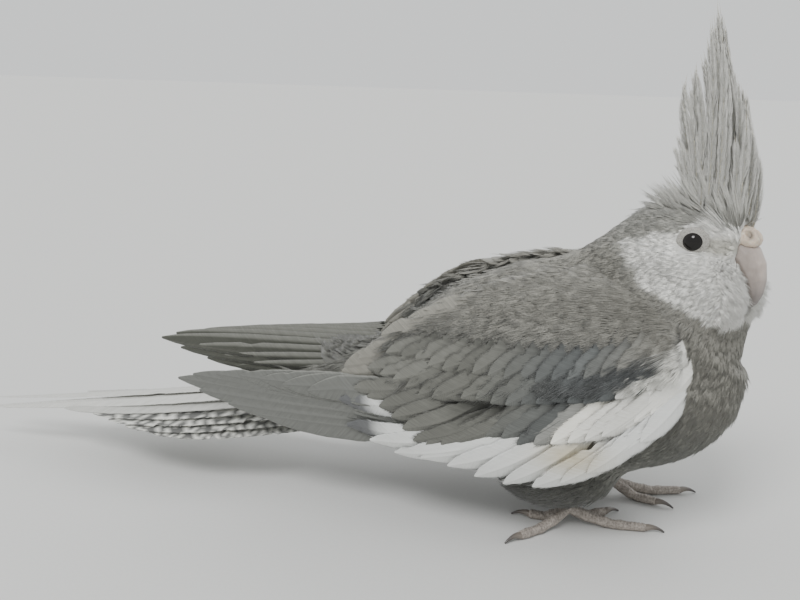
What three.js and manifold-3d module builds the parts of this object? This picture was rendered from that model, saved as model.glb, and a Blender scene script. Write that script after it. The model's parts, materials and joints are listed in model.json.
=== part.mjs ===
// A life-size cockatiel standing low on both feet, its head turned a little to its right.
// Millimetres, +Z up. The bird faces +X and its left side is +Y. The floor is z = 0.
import * as THREE from "three";
import { mergeVertices } from "three/addons/utils/BufferGeometryUtils.js";
import Module from "manifold-3d";

const wasm = await Module();
wasm.setup();

// Driving sizes
const GAP = 0.3; // clearance between neighbouring pieces
const HEAD_TURN = THREE.MathUtils.degToRad(-30); // the head looks to the bird's right
const HEAD_CENTRE = new THREE.Vector3(25.8, -4.5, 92);
const HEAD_RADII = new THREE.Vector3(20, 17.3, 18);
const EYE = { forward: 9.2, side: 10.6, up: 8, radius: 4.0, opening: 2.7, lid: 0.75 };
const TORSO_CENTRE = new THREE.Vector3(-3, 0, 49);
const TORSO_RADII = new THREE.Vector3(52, 31, 36);
const BREAST_CENTRE = new THREE.Vector3(21.5, 0, 61);
const BREAST_RADII = new THREE.Vector3(30, 31, 37);
const RUMP_CENTRE = new THREE.Vector3(-46, 0, 46);
const RUMP_RADII = new THREE.Vector3(38, 20, 19);
const MANTLE_CENTRE = new THREE.Vector3(-14, 0, 62.5);
const MANTLE_RADII = new THREE.Vector3(47, 25, 25.5);
const TAIL_ROOT = new THREE.Vector3(-76, 0, 36.5);
const TAIL_LENGTH = 158; // of the middle pair, from the root
const FEATHER_THICK = 0.9;
const SIDES = [
  { name: "right", y: -1, trail: 0 },
  { name: "left", y: 1, trail: 28 }, // the left wing tip lies this much further back
];

const vec = (x, y, z) => new THREE.Vector3(x, y, z);
const lerp = THREE.MathUtils.lerp;

// Solids from three.js geometry, and back
function solid(geometry) {
  const bare = geometry.clone();
  bare.deleteAttribute("normal");
  bare.deleteAttribute("uv");
  const merged = mergeVertices(bare, 1e-4);
  return new wasm.Manifold(
    new wasm.Mesh({
      numProp: 3,
      vertProperties: new Float32Array(merged.attributes.position.array),
      triVerts: new Uint32Array(merged.index.array),
    }),
  );
}

function geometryOf(shape) {
  const mesh = shape.getMesh();
  const points = new Float32Array(mesh.numVert * 3);
  for (let i = 0; i < mesh.numVert; i++) {
    for (let k = 0; k < 3; k++) points[3 * i + k] = mesh.vertProperties[i * mesh.numProp + k];
  }
  const geometry = new THREE.BufferGeometry();
  geometry.setAttribute("position", new THREE.BufferAttribute(points, 3));
  geometry.setIndex(new THREE.BufferAttribute(new Uint32Array(mesh.triVerts), 1));
  return geometry;
}

// The largest closed surface of a shape, without its loose scraps
function largest(shape) {
  const bodies = shape.decompose();
  return bodies.reduce((best, body) => (body.volume() > best.volume() ? body : best));
}

const joined = (shapes) => shapes.reduce((sum, shape) => sum.add(shape));

// Half of space, as a very large box whose face passes through a point
function halfSpace(point, outward, shift = 0) {
  const size = 600;
  const normal = outward.clone().normalize();
  const box = new THREE.BoxGeometry(size, size, size);
  const turn = new THREE.Quaternion().setFromUnitVectors(vec(0, 0, 1), normal);
  box.applyQuaternion(turn);
  const centre = point.clone().addScaledVector(normal, size / 2 + shift);
  box.translate(centre.x, centre.y, centre.z);
  return solid(box);
}

// Directions of the turned head: forward, to its right side, and up
const headForward = vec(Math.cos(HEAD_TURN), Math.sin(HEAD_TURN), 0);
const headSide = vec(Math.sin(HEAD_TURN), -Math.cos(HEAD_TURN), 0);
const headPoint = (forward, side, up) =>
  HEAD_CENTRE.clone()
    .addScaledVector(headForward, forward)
    .addScaledVector(headSide, side)
    .add(vec(0, 0, up));

// The flesh and short plumage are one smooth field of blended ellipsoids
const bodyEggs = [
  { centre: TORSO_CENTRE, radii: TORSO_RADII, turn: 0, pitch: 0.3 },
  { centre: BREAST_CENTRE, radii: BREAST_RADII, turn: 0, pitch: 0.3 },
  { centre: RUMP_CENTRE, radii: RUMP_RADII, turn: 0, pitch: 0.2 },
  { centre: MANTLE_CENTRE, radii: MANTLE_RADII, turn: 0, pitch: 0.25 },
];
const neckEgg = { centre: vec(21, -2, 78), radii: vec(28, 24, 25), turn: 0, pitch: 0 };
const throatEgg = { centre: vec(35, -6, 73), radii: vec(15.5, 15, 17), turn: 0, pitch: 0 };
const headEggs = [
  { centre: HEAD_CENTRE, radii: HEAD_RADII, turn: HEAD_TURN, pitch: 0 },
  { centre: headPoint(8, 6, -9), radii: vec(14, 11.5, 12), turn: HEAD_TURN, pitch: 0 },
  { centre: headPoint(8, -6, -9), radii: vec(14, 11.5, 12), turn: HEAD_TURN, pitch: 0 },
  { centre: headPoint(15, 0, 9), radii: vec(9, 8, 8), turn: HEAD_TURN, pitch: 0 },
];

// Signed distance to an ellipsoid, near enough close to its surface
function eggDistance(point, egg) {
  const local = point.clone().sub(egg.centre);
  const cosTurn = Math.cos(-egg.turn);
  const sinTurn = Math.sin(-egg.turn);
  const x = local.x * cosTurn - local.y * sinTurn;
  const y = local.x * sinTurn + local.y * cosTurn;
  const cosPitch = Math.cos(egg.pitch);
  const sinPitch = Math.sin(egg.pitch);
  const along = vec(x * cosPitch + local.z * sinPitch, y, -x * sinPitch + local.z * cosPitch);
  const near = along.clone().divide(egg.radii);
  const steep = near.clone().divide(egg.radii);
  const size = near.length();
  return size < 1e-6 ? -egg.radii.z : (size * (size - 1)) / steep.length();
}

function blend(a, b, reach) {
  const share = Math.max(reach - Math.abs(a - b), 0) / reach;
  return Math.min(a, b) - (share * share * reach) / 4;
}

const fieldOf = (eggs, reach) => (point) =>
  eggs.map((egg) => eggDistance(point, egg)).reduce((a, b) => blend(a, b, reach));
const torsoField = fieldOf([...bodyEggs, neckEgg, throatEgg], 12);
const headField = fieldOf([...headEggs, neckEgg, throatEgg], 7);
const wholeField = fieldOf([...bodyEggs, neckEgg, throatEgg, ...headEggs], 8);

// Distance from a point inside the field to its surface, along a direction
function reachOf(field, from, direction, level) {
  const step = 1.5;
  let far = step;
  while (field(from.clone().addScaledVector(direction, far)) < level && far < 200) far += step;
  let near = far - step;
  for (let i = 0; i < 14; i++) {
    const middle = (near + far) / 2;
    if (field(from.clone().addScaledVector(direction, middle)) < level) near = middle;
    else far = middle;
  }
  return near;
}

// A closed surface round a straight axis, each ray running out to the field's surface
function castAlong(field, start, end, stations, sides, level) {
  const axis = end.clone().sub(start).normalize();
  const middle = start.clone().add(end).multiplyScalar(0.5);
  const across = vec(0, 1, 0).addScaledVector(axis, -axis.y).normalize();
  const over = axis.clone().cross(across);
  const forward = reachOf(field, middle, axis, level);
  const back = reachOf(field, middle, axis.clone().negate(), level);
  const points = [middle.clone().addScaledVector(axis, -back)];
  for (let i = 1; i < stations; i++) {
    const along = lerp(-back, forward, (1 - Math.cos((Math.PI * i) / stations)) / 2);
    const centre = middle.clone().addScaledVector(axis, along);
    for (let j = 0; j < sides; j++) {
      const angle = (2 * Math.PI * j) / sides;
      const ray = across.clone().multiplyScalar(Math.cos(angle));
      ray.addScaledVector(over, Math.sin(angle));
      points.push(centre.clone().addScaledVector(ray, reachOf(field, centre, ray, level)));
    }
  }
  points.push(middle.clone().addScaledVector(axis, forward));
  return ringSolid(points, stations - 1, sides);
}

// Rings of points between two poles, closed into one surface that faces out
// The two halves of a ring are split alike, so both faces of a thin vane bend the same way
function ringSolid(points, rings, sides) {
  const faces = [];
  const at = (ring, side) => 1 + ring * sides + (side % sides);
  const last = points.length - 1;
  for (let j = 0; j < sides; j++) {
    faces.push([0, at(0, j + 1), at(0, j)], [last, at(rings - 1, j), at(rings - 1, j + 1)]);
    for (let i = 0; i < rings - 1; i++) {
      const [a, b, c, d] = [at(i, j), at(i, j + 1), at(i + 1, j + 1), at(i + 1, j)];
      if (j < sides / 2) faces.push([a, b, d], [b, c, d]);
      else faces.push([a, b, c], [a, c, d]);
    }
  }
  const volume = faces.reduce((sum, [a, b, c]) => {
    return sum + points[a].dot(points[b].clone().cross(points[c]));
  }, 0);
  const facing = volume < 0 ? faces.map(([a, b, c]) => [a, c, b]) : faces;
  return solid(new THREE.BufferGeometry().setFromPoints(points).setIndex(facing.flat()));
}

const torsoAxis = [vec(-82, 0, 44), vec(44, 0, 52)];
const neckAxis = [vec(14, -1, 66), vec(19, -3, 92)];
const headAxis = [headPoint(-12, 0, -2), headPoint(16, 0, -1)];

const torsoBody = (grow) => castAlong(torsoField, ...torsoAxis, 22, 26, grow);
const neckBody = (grow) => castAlong(wholeField, ...neckAxis, 16, 24, grow);
const headBody = (grow) => castAlong(headField, ...headAxis, 18, 26, grow);

// Everything that touches the skin is cut back to this slightly larger body
const skinClear = joined([torsoBody(GAP), neckBody(GAP), headBody(GAP)]);

// The neck is parted from the torso and the head by two sloping cuts
const NECK_CUT = { point: vec(12, 0, 72), normal: vec(0.5, 0, 0.87) };
const HEAD_CUT = { point: vec(14, 0, 89), normal: vec(0.62, 0, 0.78) };
const above = (cut) => halfSpace(cut.point, cut.normal, GAP / 2);
const below = (cut) => halfSpace(cut.point, cut.normal.clone().negate(), GAP / 2);

function makeTorso() {
  return torsoBody(0).intersect(below(NECK_CUT));
}

function makeNeck() {
  return neckBody(0).intersect(above(NECK_CUT)).intersect(below(HEAD_CUT));
}

// Eyes: balls sunk in sockets, each framed by a raised ring of lid
const eyeCentre = (side) => headPoint(EYE.forward, -side.y * EYE.side, EYE.up);
const eyeLook = (side) =>
  headForward
    .clone()
    .multiplyScalar(0.3)
    .addScaledVector(headSide, -side.y)
    .add(vec(0, 0, 0.08))
    .normalize();

function makeEye(side) {
  const ball = new THREE.SphereGeometry(EYE.radius, 18, 10);
  const centre = eyeCentre(side);
  return solid(ball.translate(centre.x, centre.y, centre.z));
}

function makeLid(side) {
  const rim = EYE.opening + EYE.lid;
  const profile = [];
  for (let i = 0; i <= 6; i++) {
    const angle = (2 * Math.PI * i) / 6;
    profile.push(
      new THREE.Vector2(rim + EYE.lid * Math.cos(angle), EYE.lid * 1.6 * Math.sin(angle)),
    );
  }
  const ring = new THREE.LatheGeometry(profile, 16);
  ring.applyQuaternion(new THREE.Quaternion().setFromUnitVectors(vec(0, 1, 0), eyeLook(side)));
  const centre = eyeCentre(side).addScaledVector(eyeLook(side), EYE.radius * 0.62);
  return solid(ring.translate(centre.x, centre.y, centre.z));
}

function makeSocket(side) {
  const ball = new THREE.SphereGeometry(EYE.radius + GAP, 18, 10);
  const centre = eyeCentre(side);
  return solid(ball.translate(centre.x, centre.y, centre.z));
}

// Bill: rings along a curve in the head's middle plane, wide at the base and hooked at the tip
function hornSolid(stations, sides = 12) {
  const points = [];
  stations.forEach((station, i) => {
    const next = stations[Math.min(i + 1, stations.length - 1)];
    const last = stations[Math.max(i - 1, 0)];
    const run = new THREE.Vector2(next.at[0] - last.at[0], next.at[1] - last.at[1]).normalize();
    if (i === 0) points.push(headPoint(station.at[0], 0, station.at[1]));
    for (let j = 0; j < sides; j++) {
      const angle = (2 * Math.PI * j) / sides;
      const out = station.deep * Math.sin(angle);
      points.push(
        headPoint(
          station.at[0] - run.y * out,
          station.wide * Math.cos(angle),
          station.at[1] + run.x * out,
        ),
      );
    }
    if (i === stations.length - 1) points.push(headPoint(station.tip[0], 0, station.tip[1]));
  });
  return ringSolid(points, stations.length, sides);
}

const UPPER_BILL = [
  { at: [18.5, 5.5], deep: 5.0, wide: 5.2 },
  { at: [21.0, 3.6], deep: 5.0, wide: 5.1 },
  { at: [23.0, 0.6], deep: 4.6, wide: 4.5 },
  { at: [24.4, -3.0], deep: 3.6, wide: 3.5 },
  { at: [25.1, -6.6], deep: 2.4, wide: 2.2 },
  { at: [25.0, -9.6], deep: 1.1, wide: 1.0, tip: [24.4, -11.4] },
];
const LOWER_BILL = [
  { at: [14.0, -4.0], deep: 3.0, wide: 4.2 },
  { at: [17.2, -6.0], deep: 2.9, wide: 4.0 },
  { at: [20.0, -7.8], deep: 2.2, wide: 3.2 },
  { at: [21.9, -8.4], deep: 1.2, wide: 2.2, tip: [22.6, -8.2] },
];
const CERE = [
  { at: [16.4, 9.8], deep: 3.4, wide: 4.8 },
  { at: [19.6, 9.6], deep: 3.5, wide: 4.7 },
  { at: [22.4, 9.0], deep: 2.8, wide: 4.3 },
  { at: [24.0, 8.2], deep: 1.7, wide: 3.2, tip: [24.8, 7.6] },
];
const NOSTRIL = { forward: 21.6, side: 2.9, up: 11.4, radius: 1.0 };

function makeCere() {
  let cere = hornSolid(CERE).subtract(clearOf(UPPER_BILL));
  for (const side of SIDES) {
    const pit = new THREE.SphereGeometry(NOSTRIL.radius, 10, 8);
    const centre = headPoint(NOSTRIL.forward, side.y * NOSTRIL.side, NOSTRIL.up);
    cere = cere.subtract(solid(pit.translate(centre.x, centre.y, centre.z)));
  }
  return largest(cere);
}

// A horn grown by the gap, for cutting its neighbours back
function clearOf(stations) {
  return hornSolid(
    stations.map((station) => ({
      ...station,
      deep: station.deep + GAP,
      wide: station.wide + GAP,
      tip: station.tip && [station.tip[0] + GAP, station.tip[1] - GAP],
    })),
  );
}

function makeLowerBill() {
  return largest(hornSolid(LOWER_BILL).subtract(clearOf(UPPER_BILL)));
}

function makeHead() {
  let head = headBody(0).intersect(above(HEAD_CUT));
  for (const side of SIDES) head = head.add(makeLid(side));
  for (const side of SIDES) head = head.subtract(makeSocket(side));
  for (const horn of [UPPER_BILL, LOWER_BILL, CERE]) head = head.subtract(clearOf(horn));
  return largest(head);
}

// A feather vane: rings of four points along a path, six where it has a raised shaft
// path(t) gives the middle line, face(t) the outward normal and half(t) the half width
const FLAT_SECTION = [[-1, 0.5], [1, 0.5], [1, -0.5], [-1, -0.5]];
const SHAFT_SECTION = [[-1, 0.4], [0, 0.75], [1, 0.4], [1, -0.4], [0, -0.05], [-1, -0.4]];

function vane({ path, face, half, steps = 3, thick = FEATHER_THICK, section = FLAT_SECTION }) {
  const points = [];
  for (let i = 0; i <= steps; i++) {
    const t = i / steps;
    const centre = path(t);
    const ahead = path(Math.min(t + 0.02, 1)).sub(path(Math.max(t - 0.02, 0))).normalize();
    const out = face(t).clone();
    out.addScaledVector(ahead, -out.dot(ahead)).normalize();
    const across = ahead.clone().cross(out);
    const deep = thick * lerp(1, 0.7, t);
    if (i === 0) points.push(centre.clone().addScaledVector(ahead, -0.4));
    for (const [side, up] of section) {
      const point = centre.clone().addScaledVector(across, side * half(t));
      points.push(point.addScaledVector(out, up * deep));
    }
    if (i === steps) points.push(centre.clone().addScaledVector(ahead, Math.max(half(t), 0.4) * 0.7));
  }
  return ringSolid(points, steps + 1, section.length);
}

// Rounded feather outline: narrow at the quill, widest past the middle, round at the tip
const featherHalf = (width, round = 0.7) => (t) => {
  const taper = t > round ? Math.sqrt(1.06 - ((t - round) / (1 - round)) ** 2) : 1;
  return (width / 2) * Math.min(1, 0.5 + 1.4 * t) * taper;
};

// Wing: its outer face lies on a boxy egg round the torso
const WING_EGG = { x: -5, z: 52, back: 88, front: 47, up: 37, down: 46, half: 39 };
const WING_POWER = 2.4;
const TIP_HALF = 21; // from the middle of the body to the wing tips

function wingHalf(x, z) {
  const along = Math.abs(x - WING_EGG.x) / (x < WING_EGG.x ? WING_EGG.back : WING_EGG.front);
  const high = Math.abs(z - WING_EGG.z) / (z > WING_EGG.z ? WING_EGG.up : WING_EGG.down);
  const left = 1 - along ** WING_POWER - high ** WING_POWER;
  const egg = WING_EGG.half * Math.max(left, 0) ** (1 / WING_POWER);
  return x < -60 ? Math.max(egg, TIP_HALF + 0.08 * (x + 140)) : egg;
}

// The part of the egg that the folded arm covers, seen from the side
const WING_OUTLINE = [
  [33, 68],
  [27, 52],
  [10, 38],
  [-22, 34],
  [-52, 38],
  [-70, 48],
  [-62, 60],
  [-38, 77],
  [-8, 87],
  [22, 84],
];

function wingEggSolid() {
  const points = [vec(WING_EGG.x - WING_EGG.back, 0, WING_EGG.z)];
  const rings = 13;
  const sides = 22;
  const power = 2 / WING_POWER;
  const bow = (value) => Math.sign(value) * Math.abs(value) ** power;
  for (let i = 1; i <= rings; i++) {
    const angle = (Math.PI * i) / (rings + 1);
    const run = -bow(Math.cos(angle));
    const x = WING_EGG.x + run * (run < 0 ? WING_EGG.back : WING_EGG.front);
    const size = bow(Math.sin(angle));
    for (let j = 0; j < sides; j++) {
      const turn = (2 * Math.PI * j) / sides;
      const high = bow(Math.sin(turn)) * size;
      points.push(
        vec(
          x,
          bow(Math.cos(turn)) * size * WING_EGG.half,
          WING_EGG.z + high * (high > 0 ? WING_EGG.up : WING_EGG.down),
        ),
      );
    }
  }
  points.push(vec(WING_EGG.x + WING_EGG.front, 0, WING_EGG.z));
  return ringSolid(points, rings, sides);
}

const wingEgg = wingEggSolid();

function wingCore(side) {
  const curve = new THREE.SplineCurve(
    [...WING_OUTLINE, WING_OUTLINE[0]].map(([x, z]) => new THREE.Vector2(x, z)),
  );
  const outline = new THREE.Shape(curve.getPoints(26).slice(0, -1));
  const slab = new THREE.ExtrudeGeometry(outline, { depth: 60, bevelEnabled: false });
  slab.rotateX(Math.PI / 2);
  slab.translate(0, side.y < 0 ? -8 : 68, 0);
  return wingEgg.intersect(solid(slab)).subtract(skinClear);
}

// Tiers of wing feathers, each with the lines of its roots and tips as seen from the side
// The first tiers lie lowest, and in a tier the feathers lie higher from the first to the last
const TIERS = [
  {
    count: 5,
    width: 11.5,
    steps: 4,
    trails: true,
    roots: [[-38, 37], [-42, 41], [-46, 46], [-50, 50]],
    tips: [[-119, 34], [-137, 41], [-121, 44.5], [-97, 45]],
    lift: [-0.2, 2.4],
  },
  {
    count: 7,
    width: 15,
    roots: [[8, 50], [-12, 44], [-34, 44], [-52, 52]],
    tips: [[14, 38.5], [-8, 25], [-26, 24], [-44, 26], [-66, 27], [-86, 38]],
    lift: [0.4, 2.8],
  },
  {
    count: 6,
    width: 16,
    roots: [[20, 62], [2, 56], [-18, 54], [-36, 60]],
    tips: [[22, 49], [4, 41], [-18, 38], [-46, 34], [-68, 45]],
    lift: [1.6, 4.0],
  },
  {
    count: 5,
    width: 16,
    roots: [[22, 70], [0, 66], [-20, 66], [-34, 70]],
    tips: [[20, 57], [-4, 50], [-32, 48], [-60, 55]],
    lift: [2.6, 5.0],
  },
  {
    count: 3,
    width: 16,
    roots: [[-18, 70], [-26, 70], [-30, 72]],
    tips: [[-77, 50], [-68, 58], [-56, 66]],
    lift: [3.4, 5.0],
  },
  {
    count: 4,
    width: 16,
    roots: [[22, 78], [2, 77], [-18, 78]],
    tips: [[14, 63], [-14, 60], [-42, 66]],
    lift: [3.6, 5.4],
  },
];
const SINK = 1.4; // how far the quills lie under the core's face

const onWing = (side, x, z, out) => vec(x, side.y * (wingHalf(x, z) + out), z);

function wingNormal(side, x, z) {
  const step = 0.5;
  const slopeX = (wingHalf(x + step, z) - wingHalf(x - step, z)) / (2 * step);
  const slopeZ = (wingHalf(x, z + step) - wingHalf(x, z - step)) / (2 * step);
  return vec(-slopeX, side.y, -slopeZ).normalize();
}

function tierVanes(side, tier) {
  const line = (points) => new THREE.SplineCurve(points.map(([x, z]) => new THREE.Vector2(x, z)));
  const roots = line(tier.roots);
  const tips = line(tier.tips);
  const vanes = [];
  for (let i = 0; i < tier.count; i++) {
    const share = i / (tier.count - 1);
    const root = roots.getPoint(share);
    const tip = tips.getPoint(share);
    const lift = lerp(...tier.lift, share);
    if (tier.trails) tip.x -= side.trail;
    const at = (t) => [lerp(root.x, tip.x, t), lerp(root.y, tip.y, t)];
    vanes.push(
      vane({
        ...tier,
        path: (t) => onWing(side, ...at(t), lerp(-SINK, lift, Math.min(1, 2.5 * t))),
        face: (t) => wingNormal(side, ...at(t)),
        half: featherHalf(tier.width),
      }),
    );
  }
  return vanes;
}

function makeWing(side) {
  const vanes = TIERS.flatMap((tier) => tierVanes(side, tier));
  return largest(joined([wingCore(side), ...vanes]).subtract(skinClear));
}

// Tail: pairs of long vanes, the middle pair longest and on top, fanned from one root
const TAIL = { pairs: 6, width: 11, drop: 0.171, level: 0.009, spread: 0.034, step: 2.3 };
const TAIL_LENGTHS = [158, 118, 104, 96, 88, 78];

function makeTail() {
  const root = new THREE.SphereGeometry(1, 16, 10).scale(25, 12, 11);
  root.rotateY(-TAIL.drop).translate(TAIL_ROOT.x - 9, 0, TAIL_ROOT.z - 4);
  const parts = [solid(root)];
  for (let pair = 0; pair < TAIL.pairs; pair++) {
    for (const side of SIDES) {
      const turn = side.y * (0.012 + TAIL.spread * pair);
      const start = TAIL_ROOT.clone().add(
        vec(-10, side.y * (2.2 + 0.9 * pair), 2.4 - TAIL.step * pair - (side.y > 0 ? 0 : 1.1)),
      );
      const reach = TAIL_LENGTHS[pair] - 12;
      const aim = vec(-Math.cos(turn), Math.sin(turn), TAIL.level * pair - TAIL.drop);
      parts.push(
        vane({
          path: (t) => start.clone().addScaledVector(aim, reach * t),
          face: () => vec(0, side.y * 0.04, 1),
          half: featherHalf(lerp(TAIL.width, 12.5, pair / 5), pair === 0 ? 0.3 : 0.6),
          steps: pair === 0 ? 5 : 3,
          thick: pair === 0 ? 0.8 : 0.62,
        }),
      );
    }
  }
  return largest(joined(parts).subtract(skinClear));
}

// Crest: slender feathers on a low cap, the front ones short and the middle ones longest
const CREST_CAP = { forward: 10, up: 15, radii: vec(14, 7.5, 6), rise: 1.2 };
const CREST_FEATHERS = 15;
const CREST_TIPS = new THREE.SplineCurve(
  [[19, 33], [18, 44], [12.5, 54], [3.2, 77.4], [-0.4, 60.2], [-3.6, 56.6], [-3, 42], [-4, 30]].map(
    ([forward, up]) => new THREE.Vector2(forward, up),
  ),
);

function makeCrest() {
  const cap = headBody(CREST_CAP.rise);
  const patch = new THREE.SphereGeometry(1, 16, 10);
  patch.scale(CREST_CAP.radii.x, CREST_CAP.radii.y, CREST_CAP.radii.z);
  patch.rotateZ(HEAD_TURN);
  const centre = headPoint(CREST_CAP.forward, 0, CREST_CAP.up);
  const parts = [cap.intersect(solid(patch.translate(centre.x, centre.y, centre.z)))];
  for (let i = 0; i < CREST_FEATHERS; i++) {
    const share = i / (CREST_FEATHERS - 1);
    const row = ((i * 7) % 5) / 2 - 1;
    const base = headPoint(lerp(20, 1, share), 3.6 * row, lerp(15.6, 17.4, Math.sin(3 * share)));
    const tip2 = CREST_TIPS.getPoint(share);
    const tip = headPoint(tip2.x, 1.6 * row, tip2.y);
    const bow = base.clone().lerp(tip, 0.5).addScaledVector(headForward, lerp(2.4, 3.5, share));
    const curve = new THREE.QuadraticBezierCurve3(base, bow.addScaledVector(headSide, row), tip);
    const width = lerp(4.2, 3.4, share);
    parts.push(
      vane({
        path: (t) => curve.getPoint(t),
        face: () => headSide.clone().addScaledVector(headForward, 0.25 * row),
        half: (t) => (width / 2) * (t < 0.25 ? 0.7 + 1.2 * t : 1.09 - 0.95 * t),
        steps: 4,
        thick: 0.75,
      }),
    );
  }
  return largest(joined(parts).subtract(skinClear));
}

// Thighs: full-feathered, reaching down over the ankles
const THIGHS = {
  right: { centre: vec(-5, -14, 21), radii: vec(22, 13, 14.5) },
  left: { centre: vec(4, 14, 21.5), radii: vec(20, 13, 14.5) },
};

function thighEgg(side, grow = 0) {
  const { centre, radii } = THIGHS[side.name];
  const egg = new THREE.SphereGeometry(1, 16, 10).scale(radii.x + grow, radii.y + grow, radii.z + grow);
  return solid(egg.rotateY(-0.16).translate(centre.x, centre.y, centre.z));
}

function makeThigh(side) {
  const middle = halfSpace(vec(0, 0, 0), vec(0, -side.y, 0), -GAP / 2);
  return largest(thighEgg(side).subtract(skinClear).subtract(middle));
}

// Feet: two toes forward and two back, lying on flat soles at floor level
const TOE_RADIUS = 1.75;
const LEGS = {
  right: {
    palm: vec(-1, -12.5, 0),
    arch: 6,
    toes: [
      { name: 1, turn: 38, reach: 15.5 },
      { name: 2, turn: 4, reach: 25.5 },
      { name: 3, turn: 225, reach: 20.5 },
      { name: 4, turn: 176, reach: 12.5 },
    ],
  },
  left: {
    palm: vec(14, 13.5, 0),
    arch: 6,
    toes: [
      { name: 1, turn: -14, reach: 15.5 },
      { name: 2, turn: 18, reach: 25.5 },
      { name: 3, turn: 148, reach: 20.5 },
      { name: 4, turn: 186, reach: 12.5 },
    ],
  },
};
const CLAW_LENGTH = 5.2;

const toeAim = (turn) => {
  const angle = THREE.MathUtils.degToRad(turn);
  return vec(Math.cos(angle), Math.sin(angle), 0);
};

// A round limb along a path, its underside flattened where it would pass the floor
function limb(path, radius, steps = 5, sides = 8) {
  const points = [path(0)];
  for (let i = 0; i <= steps; i++) {
    const t = i / steps;
    const centre = path(t);
    const ahead = path(Math.min(t + 0.02, 1)).sub(path(Math.max(t - 0.02, 0))).normalize();
    const across = ahead.clone().cross(vec(0, 0, 1));
    if (across.length() < 0.2) across.set(0, 1, 0);
    across.normalize();
    const over = across.clone().cross(ahead);
    for (let j = 0; j < sides; j++) {
      const angle = (2 * Math.PI * (j + 0.5)) / sides;
      const point = centre.clone().addScaledVector(across, radius(t) * Math.cos(angle));
      point.addScaledVector(over, radius(t) * Math.sin(angle));
      points.push(point);
    }
  }
  points.push(path(1).addScaledVector(path(1).sub(path(0.96)).normalize(), radius(1) * 0.6));
  return ringSolid(points, steps + 1, sides);
}

function toePath(leg, toe) {
  const aim = toeAim(toe.turn);
  return (t) => {
    const height = lerp(leg.arch, TOE_RADIUS - 0.35, Math.min(1, t * 1.7) ** 0.7);
    return leg.palm.clone().addScaledVector(aim, toe.reach * t).setZ(height);
  };
}

function makeFoot(side) {
  const leg = LEGS[side.name];
  const ankle = leg.palm.clone().setZ(leg.arch);
  const knee = ankle.clone().add(vec(-5, side.y * -1, 16));
  const parts = [limb((t) => ankle.clone().lerp(knee, t), () => 2.1, 3)];
  for (const toe of leg.toes) {
    parts.push(limb(toePath(leg, toe), (t) => TOE_RADIUS * lerp(1.05, 0.85, t)));
  }
  const foot = joined(parts).subtract(halfSpace(vec(0, 0, 0), vec(0, 0, -1)));
  return largest(foot.subtract(skinClear).subtract(thighEgg(side, GAP)));
}

function makeClaw(side, toe) {
  const leg = LEGS[side.name];
  const aim = toeAim(toe.turn);
  const root = toePath(leg, toe)(1).addScaledVector(aim, TOE_RADIUS * 0.51 + GAP);
  const path = (t) => {
    const drop = t * t * (TOE_RADIUS - 0.75);
    return root.clone().addScaledVector(aim, CLAW_LENGTH * t).add(vec(0, 0, 0.5 * Math.sin(Math.PI * t) - drop));
  };
  const claw = limb(path, (t) => lerp(0.95, 0.25, t), 5, 6);
  return largest(claw.subtract(halfSpace(vec(0, 0, 0), vec(0, 0, -1))));
}

const bird = new THREE.Group();

function place(name, shape, color, roughness = 0.8) {
  const material = new THREE.MeshStandardMaterial({ color, roughness, metalness: 0 });
  const mesh = new THREE.Mesh(geometryOf(shape), material);
  mesh.name = name;
  bird.add(mesh);
}

const GREY = 0x85857f;
const WHITE = 0xdcdcd6;

place("torso", makeTorso(), GREY);
place("neck", makeNeck(), GREY);
place("head", makeHead(), WHITE);
place("bill_upper", largest(hornSolid(UPPER_BILL)), 0xb5b1aa, 0.45);
place("bill_lower", makeLowerBill(), 0xa7a39c, 0.45);
place("cere", makeCere(), 0xd5ccc0, 0.6);
place("tail", makeTail(), GREY);
place("crest", makeCrest(), GREY);
for (const side of SIDES) {
  place(`eye_${side.name}`, makeEye(side), 0x0c0c0c, 0.1);
  place(`wing_${side.name}`, makeWing(side), GREY);
  place(`thigh_${side.name}`, makeThigh(side), GREY);
  place(`foot_${side.name}`, makeFoot(side), 0x8a8680);
  for (const toe of LEGS[side.name].toes) {
    place(`claw_${side.name}_${toe.name}`, makeClaw(side, toe), 0x3a3633, 0.4);
  }
}

// The origin is the middle of the bounding box, at floor level
const bounds = new THREE.Box3().setFromObject(bird);
const origin = bounds.getCenter(vec(0, 0, 0)).setZ(bounds.min.z);
for (const mesh of bird.children) mesh.geometry.translate(-origin.x, -origin.y, -origin.z);

export default bird;
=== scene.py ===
import json
import math
import bpy
import numpy as np
from mathutils import Matrix, Vector
from mathutils.bvhtree import BVHTree

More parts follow.
